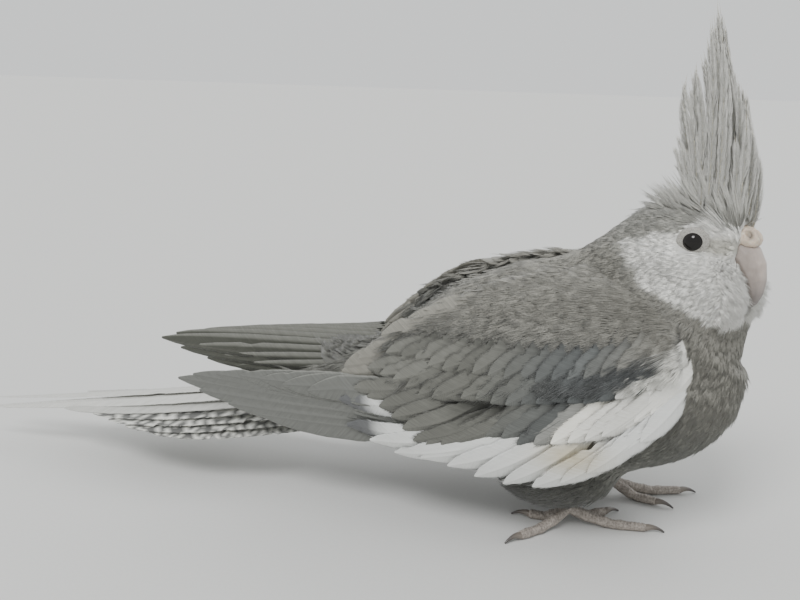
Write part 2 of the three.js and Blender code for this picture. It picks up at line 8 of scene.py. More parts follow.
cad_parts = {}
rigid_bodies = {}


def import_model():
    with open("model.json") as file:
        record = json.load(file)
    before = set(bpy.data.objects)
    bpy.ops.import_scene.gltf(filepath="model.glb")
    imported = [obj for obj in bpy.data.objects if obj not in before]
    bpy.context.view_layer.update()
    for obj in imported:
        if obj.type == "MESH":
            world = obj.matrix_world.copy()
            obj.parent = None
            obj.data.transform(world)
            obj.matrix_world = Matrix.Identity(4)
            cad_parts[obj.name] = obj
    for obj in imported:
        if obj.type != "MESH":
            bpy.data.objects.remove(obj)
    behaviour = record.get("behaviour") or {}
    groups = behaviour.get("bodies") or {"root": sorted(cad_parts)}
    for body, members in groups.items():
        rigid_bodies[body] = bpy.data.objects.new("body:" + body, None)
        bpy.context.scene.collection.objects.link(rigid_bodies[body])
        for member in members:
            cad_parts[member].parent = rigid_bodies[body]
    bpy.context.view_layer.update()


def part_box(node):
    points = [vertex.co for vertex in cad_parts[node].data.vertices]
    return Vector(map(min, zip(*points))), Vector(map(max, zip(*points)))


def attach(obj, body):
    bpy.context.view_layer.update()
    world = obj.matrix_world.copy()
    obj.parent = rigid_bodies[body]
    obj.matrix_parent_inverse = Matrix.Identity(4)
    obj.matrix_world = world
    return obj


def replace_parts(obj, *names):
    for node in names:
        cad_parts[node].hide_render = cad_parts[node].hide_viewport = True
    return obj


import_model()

# Camera, floor and light. The bird stands on a plain pale floor under soft studio light.
# Places are given in the bird's own millimetres: +X to the breast, +Y to its left, +Z up.
eye_low, eye_high = (np.array(corner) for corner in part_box("eye_right"))
EYE_IN_BIRD = np.array([28.467, -18.280, 100.0])
bird_origin = (eye_low + eye_high) / 2 - EYE_IN_BIRD / 1000


def to_scene(points):
    return np.asarray(points, float) / 1000 + bird_origin


def to_bird(points):
    return (np.asarray(points, float) - bird_origin) * 1000


CAMERA_PLACE = [-4.0, -281.0, 143.0]
FRAME_WIDTH, FOCAL_LENGTH, SENSOR_WIDTH = 800, 855, 36  # pixels, pixels, millimetres
sight_turn, sight_fall, sight_roll = (math.radians(angle) for angle in (12.0, 14.3, 1.8))
level = Vector((math.cos(sight_turn), math.sin(sight_turn), 0))
ahead = Vector((-math.sin(sight_turn), math.cos(sight_turn), 0))
sight = ahead * math.cos(sight_fall) - Vector((0, 0, math.sin(sight_fall)))
rise = ahead * math.sin(sight_fall) + Vector((0, 0, math.cos(sight_fall)))
camera_right = level * math.cos(sight_roll) + rise * math.sin(sight_roll)
camera_up = rise * math.cos(sight_roll) - level * math.sin(sight_roll)
bpy.ops.object.select_all(action="DESELECT")
bpy.ops.object.camera_add()
camera = bpy.context.object
camera.name = "camera"
camera.data.sensor_width = SENSOR_WIDTH
camera.data.lens = FOCAL_LENGTH / FRAME_WIDTH * SENSOR_WIDTH
camera.data.clip_start = 0.01
turned = Matrix((camera_right, camera_up, -sight)).transposed().to_4x4()
turned.translation = Vector(to_scene(CAMERA_PLACE))
camera.matrix_world = turned
bpy.context.scene.camera = camera


def unit(rows):
    return rows / np.linalg.norm(rows, axis=1)[:, None]


def linear(red, green, blue):
    values = np.array([red, green, blue]) / 255
    return np.where(values < 0.04045, values / 12.92, ((values + 0.055) / 1.055) ** 2.4)


def plain_material(name, roughness, marked=False, **sockets):
    # One finish. Where it is marked, the piece's own markings give its colour.
    material = bpy.data.materials.new(name)
    material.use_nodes = True
    nodes, links = material.node_tree.nodes, material.node_tree.links
    shader = nodes["Principled BSDF"]
    shader.inputs["Roughness"].default_value = roughness
    for socket, value in sockets.items():
        shader.inputs[socket.replace("_", " ")].default_value = value
    if marked:
        marks = nodes.new("ShaderNodeAttribute")
        marks.attribute_name = "markings"
        links.new(marks.outputs["Color"], shader.inputs["Base Color"])
    return material


def grained_material(name, roughness, kind, scale, tones=None, blend=("OVERLAY", 0.45), bump=None, raised=True,
                     detail=2, distortion=0, stretch=None, barb_map=False, **sockets):
    # A finish with a fine grain in its colour and its surface. It runs between two tones, or over the markings.
    material = plain_material(name, roughness, marked=tones is None, **sockets)
    nodes, links = material.node_tree.nodes, material.node_tree.links
    shader = nodes["Principled BSDF"]
    grain = nodes.new("ShaderNodeTex" + kind)
    grain.inputs["Scale"].default_value = scale
    if kind == "Noise":
        grain.inputs["Detail"].default_value = detail
        grain.inputs["Distortion"].default_value = distortion
    if barb_map:
        place = nodes.new("ShaderNodeUVMap")
        place.uv_map = "barbs"
        place = place.outputs["UV"]
    else:
        place = nodes.new("ShaderNodeTexCoord").outputs["Object"]
    if stretch:
        mapping = nodes.new("ShaderNodeMapping")
        mapping.inputs["Scale"].default_value = stretch
        links.new(place, mapping.inputs["Vector"])
        place = mapping.outputs["Vector"]
    links.new(place, grain.inputs["Vector"])
    level = grain.outputs["Fac" if kind == "Noise" else "Distance"]
    mix = nodes.new("ShaderNodeMixRGB")
    if tones:
        mix.inputs[1].default_value, mix.inputs[2].default_value = ((*linear(*tone), 1) for tone in tones)
        links.new(level, mix.inputs[0])
    else:
        mix.blend_type, mix.inputs[0].default_value = blend
        links.new(shader.inputs["Base Color"].links[0].from_socket, mix.inputs[1])
        links.new(level, mix.inputs[2])
    links.new(mix.outputs[0], shader.inputs["Base Color"])
    if bump:
        relief = nodes.new("ShaderNodeBump")
        relief.invert = not raised
        relief.inputs["Strength"].default_value, relief.inputs["Distance"].default_value = bump
        links.new(level, relief.inputs["Height"])
        links.new(relief.outputs[0], shader.inputs["Normal"])
    return material


bpy.ops.mesh.primitive_plane_add(size=40, location=(0, 0, 0))
floor = bpy.context.object
floor.name = "floor"
floor.data.materials.append(grained_material("studio_paper", 0.95, "Noise", 900, ((205, 205, 203), (211, 211, 209))))

world = bpy.data.worlds.new("studio_air")
world.use_nodes = True
world.node_tree.nodes["Background"].inputs[0].default_value = (*linear(236, 238, 238), 1)
world.node_tree.nodes["Background"].inputs[1].default_value = 1.12
bpy.context.scene.world = world
for name, aim_from, spread, strength in (
    ("window_light", (-0.25, -0.75, 1.0), 22, 2.1),
    ("rim_light", (0.5, 0.9, 0.9), 40, 0.5),
):
    bpy.ops.object.light_add(type="SUN", location=aim_from)
    lamp = bpy.context.object
    lamp.name = name
    lamp.data.angle = math.radians(spread)
    lamp.data.energy = strength
    lamp.rotation_euler = Vector(aim_from).to_track_quat("Z", "Y").to_euler()

# The skin is one closed surface under the whole coat: body, neck, head and thighs.
# It lies inside the flesh solids by the depth of the plumage, and has the coat's markings, darkened as painted shade
# under the coat.
HEAD_CENTRE = np.array([25.8, -4.5, 92.0])
HEAD_TURN = math.radians(-30)
head_forward = np.array([math.cos(HEAD_TURN), math.sin(HEAD_TURN), 0])
head_side = np.array([math.sin(HEAD_TURN), -math.cos(HEAD_TURN), 0])


def head_point(forward, side, up):
    along = np.multiply.outer(np.asarray(forward, float), head_forward)
    across = np.multiply.outer(np.asarray(side, float), head_side)
    above = np.multiply.outer(np.asarray(up, float), np.array([0, 0, 1.0]))
    return HEAD_CENTRE + along + across + above


def head_place(points):
    away = points - HEAD_CENTRE
    return away @ head_forward, np.abs(away @ head_side), away[:, 2]


def soft_step(value, low, high):
    share = np.clip((value - low) / (high - low), 0, 1)
    return share * share * (3 - 2 * share)


def ripple(points, size, seed):
    # A smooth random pattern of bumps about `size` millimetres wide, from -1 to 1
    draw = np.random.default_rng(seed)
    total = np.zeros(len(points))
    for _ in range(14):
        way = draw.normal(size=3)
        way *= draw.uniform(0.6, 1.5) / size / np.linalg.norm(way) * 2 * math.pi
        total += np.sin(points @ way + draw.uniform(0, 2 * math.pi))
    return total / 4.5


MASK_EDGE = np.array([
    (-11, 17, 4.2), (-6, 19, 0.5), (-2, 22, -3.8), (3, 22, -7.5), (11, 19, -11),
    (16, 16, -14), (20, 9, -17), (22.6, 0, -18.5),
])


def white_mask(points):
    # How far a place on the head lies inside the white face, in millimetres
    forward, side, up = head_place(points)
    bottom = np.interp(forward, MASK_EDGE[:, 0], MASK_EDGE[:, 2])
    top = np.interp(forward, [-12, -4, 3, 7, 12, 17, 22], [5.5, 8.0, 10.2, 13.2, 14.6, 14.4, 13.0])
    inside = np.minimum(up - bottom, top - up)
    inside = np.minimum(inside, (forward + 12.5) * 1.2)
    return inside + 0.9 * ripple(points, 5, 3)


def plumage(points):
    # The bird's markings as linear colours, from places in its own millimetres, with painted shade darkening the
    # belly and the underside
    count = len(points)
    x, y, z = points.T
    forward, side, up = head_place(points)
    grey = np.tile(linear(144, 142, 134), (count, 1))
    belly_shade = linear(116, 116, 109)
    painted_shade = linear(94, 94, 90)
    breast = linear(131, 129, 121)
    white = linear(240, 239, 234)
    lore = linear(186, 183, 170)
    ear = linear(214, 213, 208)
    crown = linear(166, 165, 158)

    def lay(base, tint, share):
        return base * (1 - share[:, None]) + tint * share[:, None]

    colour = lay(grey, breast, soft_step(x, 20, 45))
    # Painted shade: darker towards the belly, and darkest on the underside
    colour = lay(colour, belly_shade, soft_step(52 - z, 0, 18))
    colour = lay(colour, painted_shade, soft_step(26 - z, 0, 16))
    on_head = soft_step(z + 0.45 * x, 92, 104)
    colour = lay(colour, crown, on_head * 0.8)
    mask = soft_step(white_mask(points), -0.8, 0.8)
    face = np.tile(white, (count, 1))
    away_ear = np.hypot((forward + 0.0) / 7, (up + 1.5) / 3.2)
    face = lay(face, ear, 0.65 * (1 - soft_step(away_ear, 0.5, 1.4)))
    away_lore = np.hypot((forward - 17.5) / 5.5, (up - 7.2) / 2.6)
    face = lay(face, lore, 0.75 * (1 - soft_step(away_lore, 0.5, 1.3)))
    colour = lay(colour, face, mask * soft_step(x, 2, 8))
    tone = 1 + 0.05 * ripple(points, 9, 5) + 0.03 * ripple(points, 3, 8)
    return np.clip(colour * tone[:, None], 0, 1)


def coat_depth(points):
    forward, side, up = head_place(points)
    near_bill = soft_step(forward, 4, 20) * soft_step(points[:, 2], 70, 84)
    on_head = soft_step(points[:, 2] + 0.45 * points[:, 0], 92, 104)
    return 1.9 - 0.6 * on_head - 0.7 * near_bill


def points_of(mesh):
    flat = np.empty(len(mesh.vertices) * 3)
    mesh.vertices.foreach_get("co", flat)
    return flat.reshape(-1, 3)


def facings_of(mesh):
    flat = np.empty(len(mesh.vertices) * 3)
    mesh.vertices.foreach_get("normal", flat)
    return flat.reshape(-1, 3)


def move_points(mesh, points):
    mesh.vertices.foreach_set("co", points.ravel())
    mesh.update()


def colour_mesh(mesh, colours):
    layer = mesh.color_attributes.new("markings", "FLOAT_COLOR", "POINT")
    full = np.ones((len(mesh.vertices), 4))
    full[:, :3] = colours
    layer.data.foreach_set("color", full.ravel())


def solid_copy(node, name):
    # A copy of one of the solids, selected and active
    part = bpy.data.objects.new(name, bpy.data.objects[node].data.copy())
    part.data.materials.clear()
    bpy.context.collection.objects.link(part)
    part.select_set(True)
    bpy.context.view_layer.objects.active = part
    return part


def in_edit_mode(*steps):
    # Everything in the active piece is selected in edit mode, and the steps are then taken in turn
    bpy.ops.object.mode_set(mode="EDIT")
    bpy.ops.mesh.select_all(action="SELECT")
    for step, settings in steps:
        step(**settings)
    bpy.ops.object.mode_set(mode="OBJECT")


MERGE = (bpy.ops.mesh.remove_doubles, {"threshold": 1e-6})
UNWRAP = (bpy.ops.uv.smart_project, {"angle_limit": math.radians(66), "island_margin": 0.002})
FLESH = ["torso", "neck", "head", "thigh_right", "thigh_left"]
bpy.ops.object.select_all(action="DESELECT")
for node in FLESH:
    solid_copy(node, "flesh")
bpy.ops.mesh.primitive_uv_sphere_add(segments=32, ring_count=20, radius=1)
tail_base = bpy.context.object
tail_base.data.transform(
    Matrix.Translation(Vector(to_scene([-85, 0, 32.5]))) @ Matrix.Rotation(-0.171, 4, "Y")
    @ Matrix.Diagonal((0.0245, 0.0115, 0.0105, 1))
)
for piece in bpy.data.objects:
    piece.select_set(piece.name.startswith("flesh") or piece == tail_base)
bpy.context.view_layer.objects.active = bpy.data.objects["flesh"]
bpy.ops.object.join()
skin = bpy.context.object
skin.name = "skin"
in_edit_mode(MERGE)


def apply_modifier(piece, kind, **settings):
    bpy.context.view_layer.objects.active = piece
    modifier = piece.modifiers.new(kind.lower(), kind)
    for key, value in settings.items():
        setattr(modifier, key, value)
    bpy.ops.object.modifier_apply(modifier=modifier.name)


def finish_piece(part, slot, material, *nodes):
    # The piece gets its finish, stands in for its nodes and rides on the root
    part.data.materials.append(material)
    if nodes:
        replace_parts(part, *nodes)
    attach(part, "root")


# The skin is swollen, which closes the gaps between the solids, then worn smooth and sunk under the coat
SKIN_SWELL, SKIN_CELL, SKIN_ROUNDS, SKIN_SINK = 0.0014, 0.0011, 34, 0.0012
apply_modifier(skin, "DISPLACE", strength=SKIN_SWELL, mid_level=0)
apply_modifier(skin, "REMESH", mode="VOXEL", voxel_size=SKIN_CELL)
apply_modifier(skin, "SMOOTH", factor=0.5, iterations=SKIN_ROUNDS)
surface = points_of(skin.data)
surface -= facings_of(skin.data) * (coat_depth(to_bird(surface)) / 1000 + SKIN_SINK)[:, None]
move_points(skin.data, surface)
# The markings are darkened as painted shade under the coat
colour_mesh(skin.data, plumage(to_bird(surface)) * 0.72)
bpy.ops.object.shade_smooth()
in_edit_mode(UNWRAP)
skin.data.uv_layers.active.name = "OFBake"
underdown = grained_material("underdown", 0.9, "Noise", 1400, detail=6, blend=("MULTIPLY", 0.35), bump=(0.5, 0.0004))
finish_piece(skin, "plumage_grey", underdown, *FLESH)

# The eyes are glossy dark balls under a clear cornea, sunk in the head.
# Each has a narrow pale grey ring of beaded bare skin round it, the two lids.
EYE_FORWARD, EYE_SIDE, EYE_UP, EYE_RADIUS, EYE_OPENING = 9.2, 10.6, 8.0, 4.0, 2.75
LID_REACH = 3.2
eye_gloss = plain_material("eye_gloss", 0.06, Base_Color=(*linear(16, 12, 11), 1), Coat_Weight=0.35,
                           Coat_Roughness=0.03, Specular_IOR_Level=0.18)
lid_skin = grained_material("lid_skin", 0.55, "Voronoi", 2600, ((176, 173, 166), (120, 117, 112)),
                            bump=(0.5, 0.0002), raised=False)
eye_looks = {}
for side_name, hand in (("right", 1), ("left", -1)):
    centre = head_point(EYE_FORWARD, hand * EYE_SIDE, EYE_UP)
    look = head_forward * 0.3 + head_side * hand + np.array([0, 0, 0.08])
    look /= np.linalg.norm(look)
    eye_looks[side_name] = (centre, look)
    turned = Vector(look).to_track_quat("Z", "Y").to_matrix().to_4x4()
    turned.translation = Vector(to_scene(centre))
    bpy.ops.object.select_all(action="DESELECT")
    bpy.ops.mesh.primitive_uv_sphere_add(segments=64, ring_count=40, radius=EYE_RADIUS / 1000)
    ball = bpy.context.object
    ball.name = f"eyeball_{side_name}"
    domed = points_of(ball.data)
    domed[:, 2] += 0.00028 * soft_step(domed[:, 2], 0.0022, 0.004)  # the cornea's bulge
    ball.data.vertices.foreach_set("co", domed.ravel())
    ball.data.transform(turned)
    bpy.ops.object.shade_smooth()
    finish_piece(ball, "eye", eye_gloss, f"eye_{side_name}")

    bpy.ops.object.select_all(action="DESELECT")
    bpy.ops.mesh.primitive_torus_add(
        major_segments=96, minor_segments=20, major_radius=(EYE_OPENING + 0.85) / 1000, minor_radius=0.00095
    )
    lid = bpy.context.object
    lid.name = f"eyelids_{side_name}"
    ring = points_of(lid.data) * 1000
    angle = np.arctan2(ring[:, 1], ring[:, 0])
    reach = np.hypot(ring[:, 0], ring[:, 1])
    ring[:, 2] = ring[:, 2] * 0.5 + np.sqrt(EYE_RADIUS**2 - np.minimum(reach, LID_REACH) ** 2)
    ring[:, 2] -= 0.22 * (reach - LID_REACH).clip(0)
    ring[:, 2] += 0.06 * np.sin(38 * angle) * soft_step(reach, 2.8, 3.4)
    ring[:, :2] *= (1 + 0.05 * np.cos(2 * angle))[:, None]
    lid.data.vertices.foreach_set("co", (ring / 1000).ravel())
    lid.data.transform(turned)
    bpy.ops.object.shade_smooth()
    finish_piece(lid, "cere_skin", lid_skin)

# The bill is horn over bone: a hooked upper part and a short cup below, with fine growth lines.
# It keeps the form of the solids, with the facets worn smooth.
def smooth_copy(node, name, voxel, rounds, swell=0.0):
    # A solid with its facets worn smooth and, where asked, swollen a little
    bpy.ops.object.select_all(action="DESELECT")
    part = solid_copy(node, name)
    in_edit_mode(MERGE)
    apply_modifier(part, "REMESH", mode="VOXEL", voxel_size=voxel / 1000)
    apply_modifier(part, "SMOOTH", factor=0.5, iterations=rounds)
    if swell:
        apply_modifier(part, "DISPLACE", strength=swell / 1000, mid_level=0)
    bpy.ops.object.shade_smooth()
    return part


bill_horn = grained_material(
    "bill_horn", 0.42, "Noise", 420, detail=5, distortion=0.6, stretch=(1.0, 1.0, 0.25), blend=("OVERLAY", 0.35),
    bump=(0.25, 0.0002), Subsurface_Weight=0.08, Subsurface_Radius=(0.001, 0.0006, 0.0004), Coat_Weight=0.15,
)
for node, name in (("bill_upper", "upper_bill"), ("bill_lower", "lower_bill")):
    bill = smooth_copy(node, name, 0.16, 14, 0.12)
    spots = to_bird(points_of(bill.data))
    forward, side, up = head_place(spots)
    low = soft_step(2 - up, 0, 13)[:, None]
    shade = linear(172, 160, 152) * (1 - low) + linear(112, 106, 104) * low
    shade = shade * (1 - 0.25 * soft_step(side, 2.0, 4.6)[:, None])
    colour_mesh(bill.data, shade * (1 + 0.05 * ripple(spots, 2.5, 77))[:, None])
    finish_piece(bill, "bill", bill_horn, node)

# The cere is the soft bare skin over the bill's root, two plump lobes with a nostril in each.
# It is made of a smoothed copy of the solid, with the nostrils and the cleft pressed in.
cere_skin = grained_material("cere_skin", 0.5, "Noise", 1500, detail=4, bump=(0.4, 0.00015),
                             Subsurface_Weight=0.15, Subsurface_Radius=(0.0015, 0.0008, 0.0005))
NOSTRIL_FORWARD, NOSTRIL_SIDE = 22.6, 2.9
cere = smooth_copy("cere", "cere_lobes", 0.2, 6, 0.15)
spots = to_bird(points_of(cere.data))
forward, side, up = head_place(spots)
pits = np.exp(-((forward - NOSTRIL_FORWARD) ** 2 + (side - NOSTRIL_SIDE) ** 2) / 0.9) * soft_step(up, 8.4, 10)
ring = np.exp(-((np.hypot(forward - NOSTRIL_FORWARD, side - NOSTRIL_SIDE) - 1.5) / 0.5) ** 2) * soft_step(up, 8.4, 10)
cleft = np.exp(-((side / 0.8) ** 2)) * soft_step(forward, 18, 20)
push = 0.4 * ring - 1.8 * pits - 0.5 * cleft
move_points(cere.data, to_scene(spots + facings_of(cere.data) * push[:, None]))
# The nostrils and the cleft are darkened as painted shade in their hollows
colour_mesh(cere.data, linear(206, 190, 172) * (1 - 0.8 * np.clip(pits * 1.6, 0, 1) - 0.25 * cleft)[:, None])
finish_piece(cere, "cere_skin", cere_skin, "cere")

# The feet are bare, two toes forward and two back, wrapped in small grey-brown scutes.
# Cross plates run along the top of each toe, and the sides have fine round scales.
# Each leg has its palm's place, and for each toe its turn in degrees and its reach.
CLAW_LENGTH = 5.2
LEGS = {
    "right": ((-1, -12.5), ((38, 15.5), (4, 25.5), (225, 20.5), (176, 12.5))),
    "left": ((14, 13.5), ((-14, 15.5), (18, 25.5), (148, 20.5), (186, 12.5))),
}
SCUTE_STEP, SHANK_STEP, TOE_SPAN = 1.15, 1.25, 22
scute_skin = grained_material("scute_skin", 0.6, "Voronoi", 1500, bump=(0.5, 0.0003), raised=False)
claw_horn = plain_material("claw_horn", 0.35, marked=True, Coat_Weight=0.2)


def toe_aim(turn):
    return np.array([math.cos(math.radians(turn)), math.sin(math.radians(turn))])


for side_name, (palm, toes) in LEGS.items():
    foot = smooth_copy(f"foot_{side_name}", f"scaled_foot_{side_name}", 0.28, 4)
    spots = to_bird(points_of(foot.data))
    best = np.full(len(spots), 1e9)
    along = np.zeros(len(spots))
    for turn, reach in toes:
        away = spots[:, :2] - np.array(palm)
        run = np.clip(away @ toe_aim(turn), 0, reach)
        off = np.linalg.norm(away - run[:, None] * toe_aim(turn), axis=1)
        along = np.where(off < best, run, along)
        best = np.minimum(best, off)
    normals = facings_of(foot.data)
    on_shank = soft_step(spots[:, 2], 6.5, 8.5)
    phase = np.where(on_shank > 0.5, spots[:, 2] / SHANK_STEP, along / SCUTE_STEP) % 1.0
    plate = (1 - np.abs(2 * phase - 1) ** 5) - 0.5
    top = soft_step(normals[:, 2], -0.3, 0.5) * (1 - on_shank) + on_shank
    knuckle = sum(np.exp(-(((along / TOE_SPAN) - k) / 0.05) ** 2) for k in (0.28, 0.55, 0.8)) * 0.22 * (1 - on_shank)
    above_floor = soft_step(spots[:, 2], 0.15, 0.6)
    push = (0.2 * plate * top + knuckle) * above_floor
    groove = (1 - soft_step(plate, -0.5, -0.1)) * top
    move_points(foot.data, to_scene(spots + normals * push[:, None]))
    shade = linear(148, 140, 132) * (1 - 0.45 * groove)[:, None]
    # Painted shade: the downward-facing undersides are darker
    shade = shade * (1 - 0.25 * soft_step(-normals[:, 2], 0, 0.8))[:, None]
    colour_mesh(foot.data, np.clip(shade * (1 + 0.08 * ripple(spots, 3, 88))[:, None], 0, 1))
    finish_piece(foot, "foot_skin", scute_skin, f"foot_{side_name}")
    for number, (turn, reach) in enumerate(toes, 1):
        claw = smooth_copy(f"claw_{side_name}_{number}", f"claw_horn_{side_name}_{number}", 0.12, 5, 0.08)
        spots = to_bird(points_of(claw.data))
        gone = np.hypot(*(spots[:, :2] - np.array(palm)).T) - reach
        share = soft_step(gone, 1.0, CLAW_LENGTH + 1)[:, None]
        aim = np.array([*toe_aim(turn), 0.0])
        axis = np.array([*palm, 0]) + aim * gone[:, None] + aim * reach
        axis[:, 2] = np.interp(gone, [1, 3.5, 6], [1.45, 1.2, 0.5])
        spots = axis + (spots - axis) * (1.35 - 0.35 * share) - aim * 1.0 * (1 - share)
        move_points(claw.data, to_scene(spots))
        colour_mesh(claw.data, linear(124, 116, 108) * (1 - share) + linear(66, 62, 60) * share)
        finish_piece(claw, "claw", claw_horn, f"claw_{side_name}_{number}")

# The body coat is thousands of small contour feathers, laid like shingles from bill to tail.
# Each is a thin cupped vane with a ragged tip, under a fan of fine loose barbs rooted in the skin.
# They are grouped by the part of the body that they cover.
BILL_BASE = head_point(26, 0, 4)


def flow_at(points, facing):
    # The lie of the coat: back from the bill over the head, then down and back along the body
    from_bill = points - BILL_BASE
    from_bill = unit(from_bill)
    forward, side, up = head_place(points)
    on_head = soft_step(points[:, 2] + 0.45 * points[:, 0], 88, 104)[:, None]
    x, y, z = points.T
    back = np.column_stack([-np.ones(len(x)), np.zeros(len(x)), np.full(len(x), -0.28)])
    fall = np.column_stack([-0.45 * np.ones(len(x)), 0.12 * np.sign(y), -np.ones(len(x))])
    on_breast = soft_step(x, 12, 40)[:, None]
    along = back * (1 - on_breast) + fall * on_breast
    along = unit(along)
    way = from_bill * on_head + along * (1 - on_head)
    way -= facing * (way * facing).sum(1)[:, None]
    return way / (np.linalg.norm(way, axis=1)[:, None] + 1e-9)


def sample_skin(mesh, spacing, keep, seed):
    # Places spread evenly over a mesh: millimetre points, facing and unwrap places
    draw = np.random.default_rng(seed)
    mesh.calc_loop_triangles()
    corners = np.empty(len(mesh.loop_triangles) * 3, int)
    mesh.loop_triangles.foreach_get("loops", corners)
    corners = corners.reshape(-1, 3)
    vertex_of = np.empty(len(mesh.loops), int)
    mesh.loops.foreach_get("vertex_index", vertex_of)
    places = to_bird(points_of(mesh))[vertex_of[corners]]
    normal = facings_of(mesh)[vertex_of[corners]]
    flat = np.zeros(len(mesh.loops) * 2)
    mesh.uv_layers["OFBake"].data.foreach_get("uv", flat)
    flat = flat.reshape(-1, 2)[corners]
    area = np.linalg.norm(np.cross(places[:, 1] - places[:, 0], places[:, 2] - places[:, 0]), axis=1) / 2
    tries = int(area.sum() / spacing**2 * 5)
    chosen = draw.choice(len(area), tries, p=area / area.sum())
    weights = draw.dirichlet((1, 1, 1), tries)[:, :, None]
    spot = (places[chosen] * weights).sum(1)
    facing = (normal[chosen] * weights).sum(1)
    unwrap = (flat[chosen] * weights).sum(1)
    wanted = keep(spot, facing)
    spot, facing, unwrap = spot[wanted], facing[wanted], unwrap[wanted]
    cells, taken = {}, []
    for index, key in enumerate(map(tuple, np.floor(spot / spacing).astype(int))):
        near = (
            other
            for dx in (-1, 0, 1) for dy in (-1, 0, 1) for dz in (-1, 0, 1)
            for other in cells.get((key[0] + dx, key[1] + dy, key[2] + dz), ())
        )
        here = spot[index]
        if all(((spot[other] - here) ** 2).sum() > spacing**2 for other in near):
            cells.setdefault(key, []).append(index)
            taken.append(index)
    facing = unit(facing)
    return spot[taken], facing[taken], unwrap[taken]


def mesh_piece(name, slot, material, points, faces, colours, unwrap):
    # A piece from arrays: scene points, triangles, a colour and an unwrap place for each point
    mesh = bpy.data.meshes.new(name)
    mesh.vertices.add(len(points))
    mesh.vertices.foreach_set("co", np.asarray(points, float).ravel())
    mesh.loops.add(faces.size)
    mesh.loops.foreach_set("vertex_index", faces.ravel().astype(np.int32))
    mesh.polygons.add(len(faces))
    mesh.polygons.foreach_set("loop_start", np.arange(0, faces.size, 3, dtype=np.int32))
    mesh.polygons.foreach_set("use_smooth", np.ones(len(faces), bool))
    mesh.update(calc_edges=True)
    mesh.validate()
    colour_mesh(mesh, colours)
    mesh.uv_layers.new(name="OFBake").data.foreach_set("uv", unwrap[faces.ravel()].ravel())
    piece = bpy.data.objects.new(name, mesh)
    bpy.context.collection.objects.link(piece)
    mesh.materials.append(material)
    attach(piece, "root")
    return piece


def repeat_faces(faces, count, points_each):
    # The triangles of one small thing, numbered on for as many as there are
    return (faces[None] + (np.arange(count) * points_each)[:, None, None]).reshape(-1, 3)


RING, ROWS = 6, 4  # five points over the vane and one under it, in four rows


def ring_faces(ring, rows):
    # Triangles of one closed vane: a root fan, the walls and a tip fan
    faces = [(0, 1 + (j + 1) % ring, 1 + j) for j in range(ring)]
    for i in range(rows - 1):
        for j in range(ring):
            a, b = 1 + i * ring + j, 1 + i * ring + (j + 1) % ring
            faces += [(a, b, a + ring), (b, b + ring, a + ring)]
    last = 1 + rows * ring
    base = 1 + (rows - 1) * ring
    faces += [(base + j, base + (j + 1) % ring, last) for j in range(ring)]
    return np.array(faces)


CONTOUR_FACES = ring_faces(RING, ROWS)
CONTOUR_POINTS = 2 + RING * ROWS
UNWRAP_PATCH = 0.003


def clear_of_eyes(spot, way, length):
    # Shorter feathers round the eyes, and none over them: a share of length for each place
    share = np.ones(len(spot))
    for centre, look in eye_looks.values():
        for along, room in ((0.0, 3.9), (0.6, 3.8), (1.0, 3.5)):
            away = spot + way * (length * along)[:, None] - centre
            near = (away * look).sum(1) > -2
            off = np.linalg.norm(away - look * (away * look).sum(1)[:, None], axis=1)
            hit = near & (off < room) & (np.linalg.norm(away, axis=1) < 12)
            share[hit] = 0.0 if along == 0 else np.minimum(share[hit], 0.45)
        away = spot + way * (length * 0.45)[:, None] - centre
        off = np.linalg.norm(away - look * (away * look).sum(1)[:, None], axis=1)
        share[(off < 3.5) & (np.linalg.norm(away, axis=1) < 8)] = 0.0
    return share


BARB_POINTS = 5
BARB_FACES = ring_faces(3, 1)


def spindles(root, middle, tip, over, thick):
    # Fine closed barbs: a root point, three points round the middle and a tip point
    run = tip - root
    run = run / (np.linalg.norm(run, axis=1)[:, None] + 1e-9)
    across = np.cross(run, over)
    across = across / (np.linalg.norm(across, axis=1)[:, None] + 1e-9)
    above = np.cross(across, run)
    thick = np.broadcast_to(thick, len(root))[:, None]
    return np.stack([
        root, middle - (across * 0.87 + above * 0.5) * thick, middle + above * thick,
        middle + (across * 0.87 - above * 0.5) * thick, tip,
    ], axis=1)


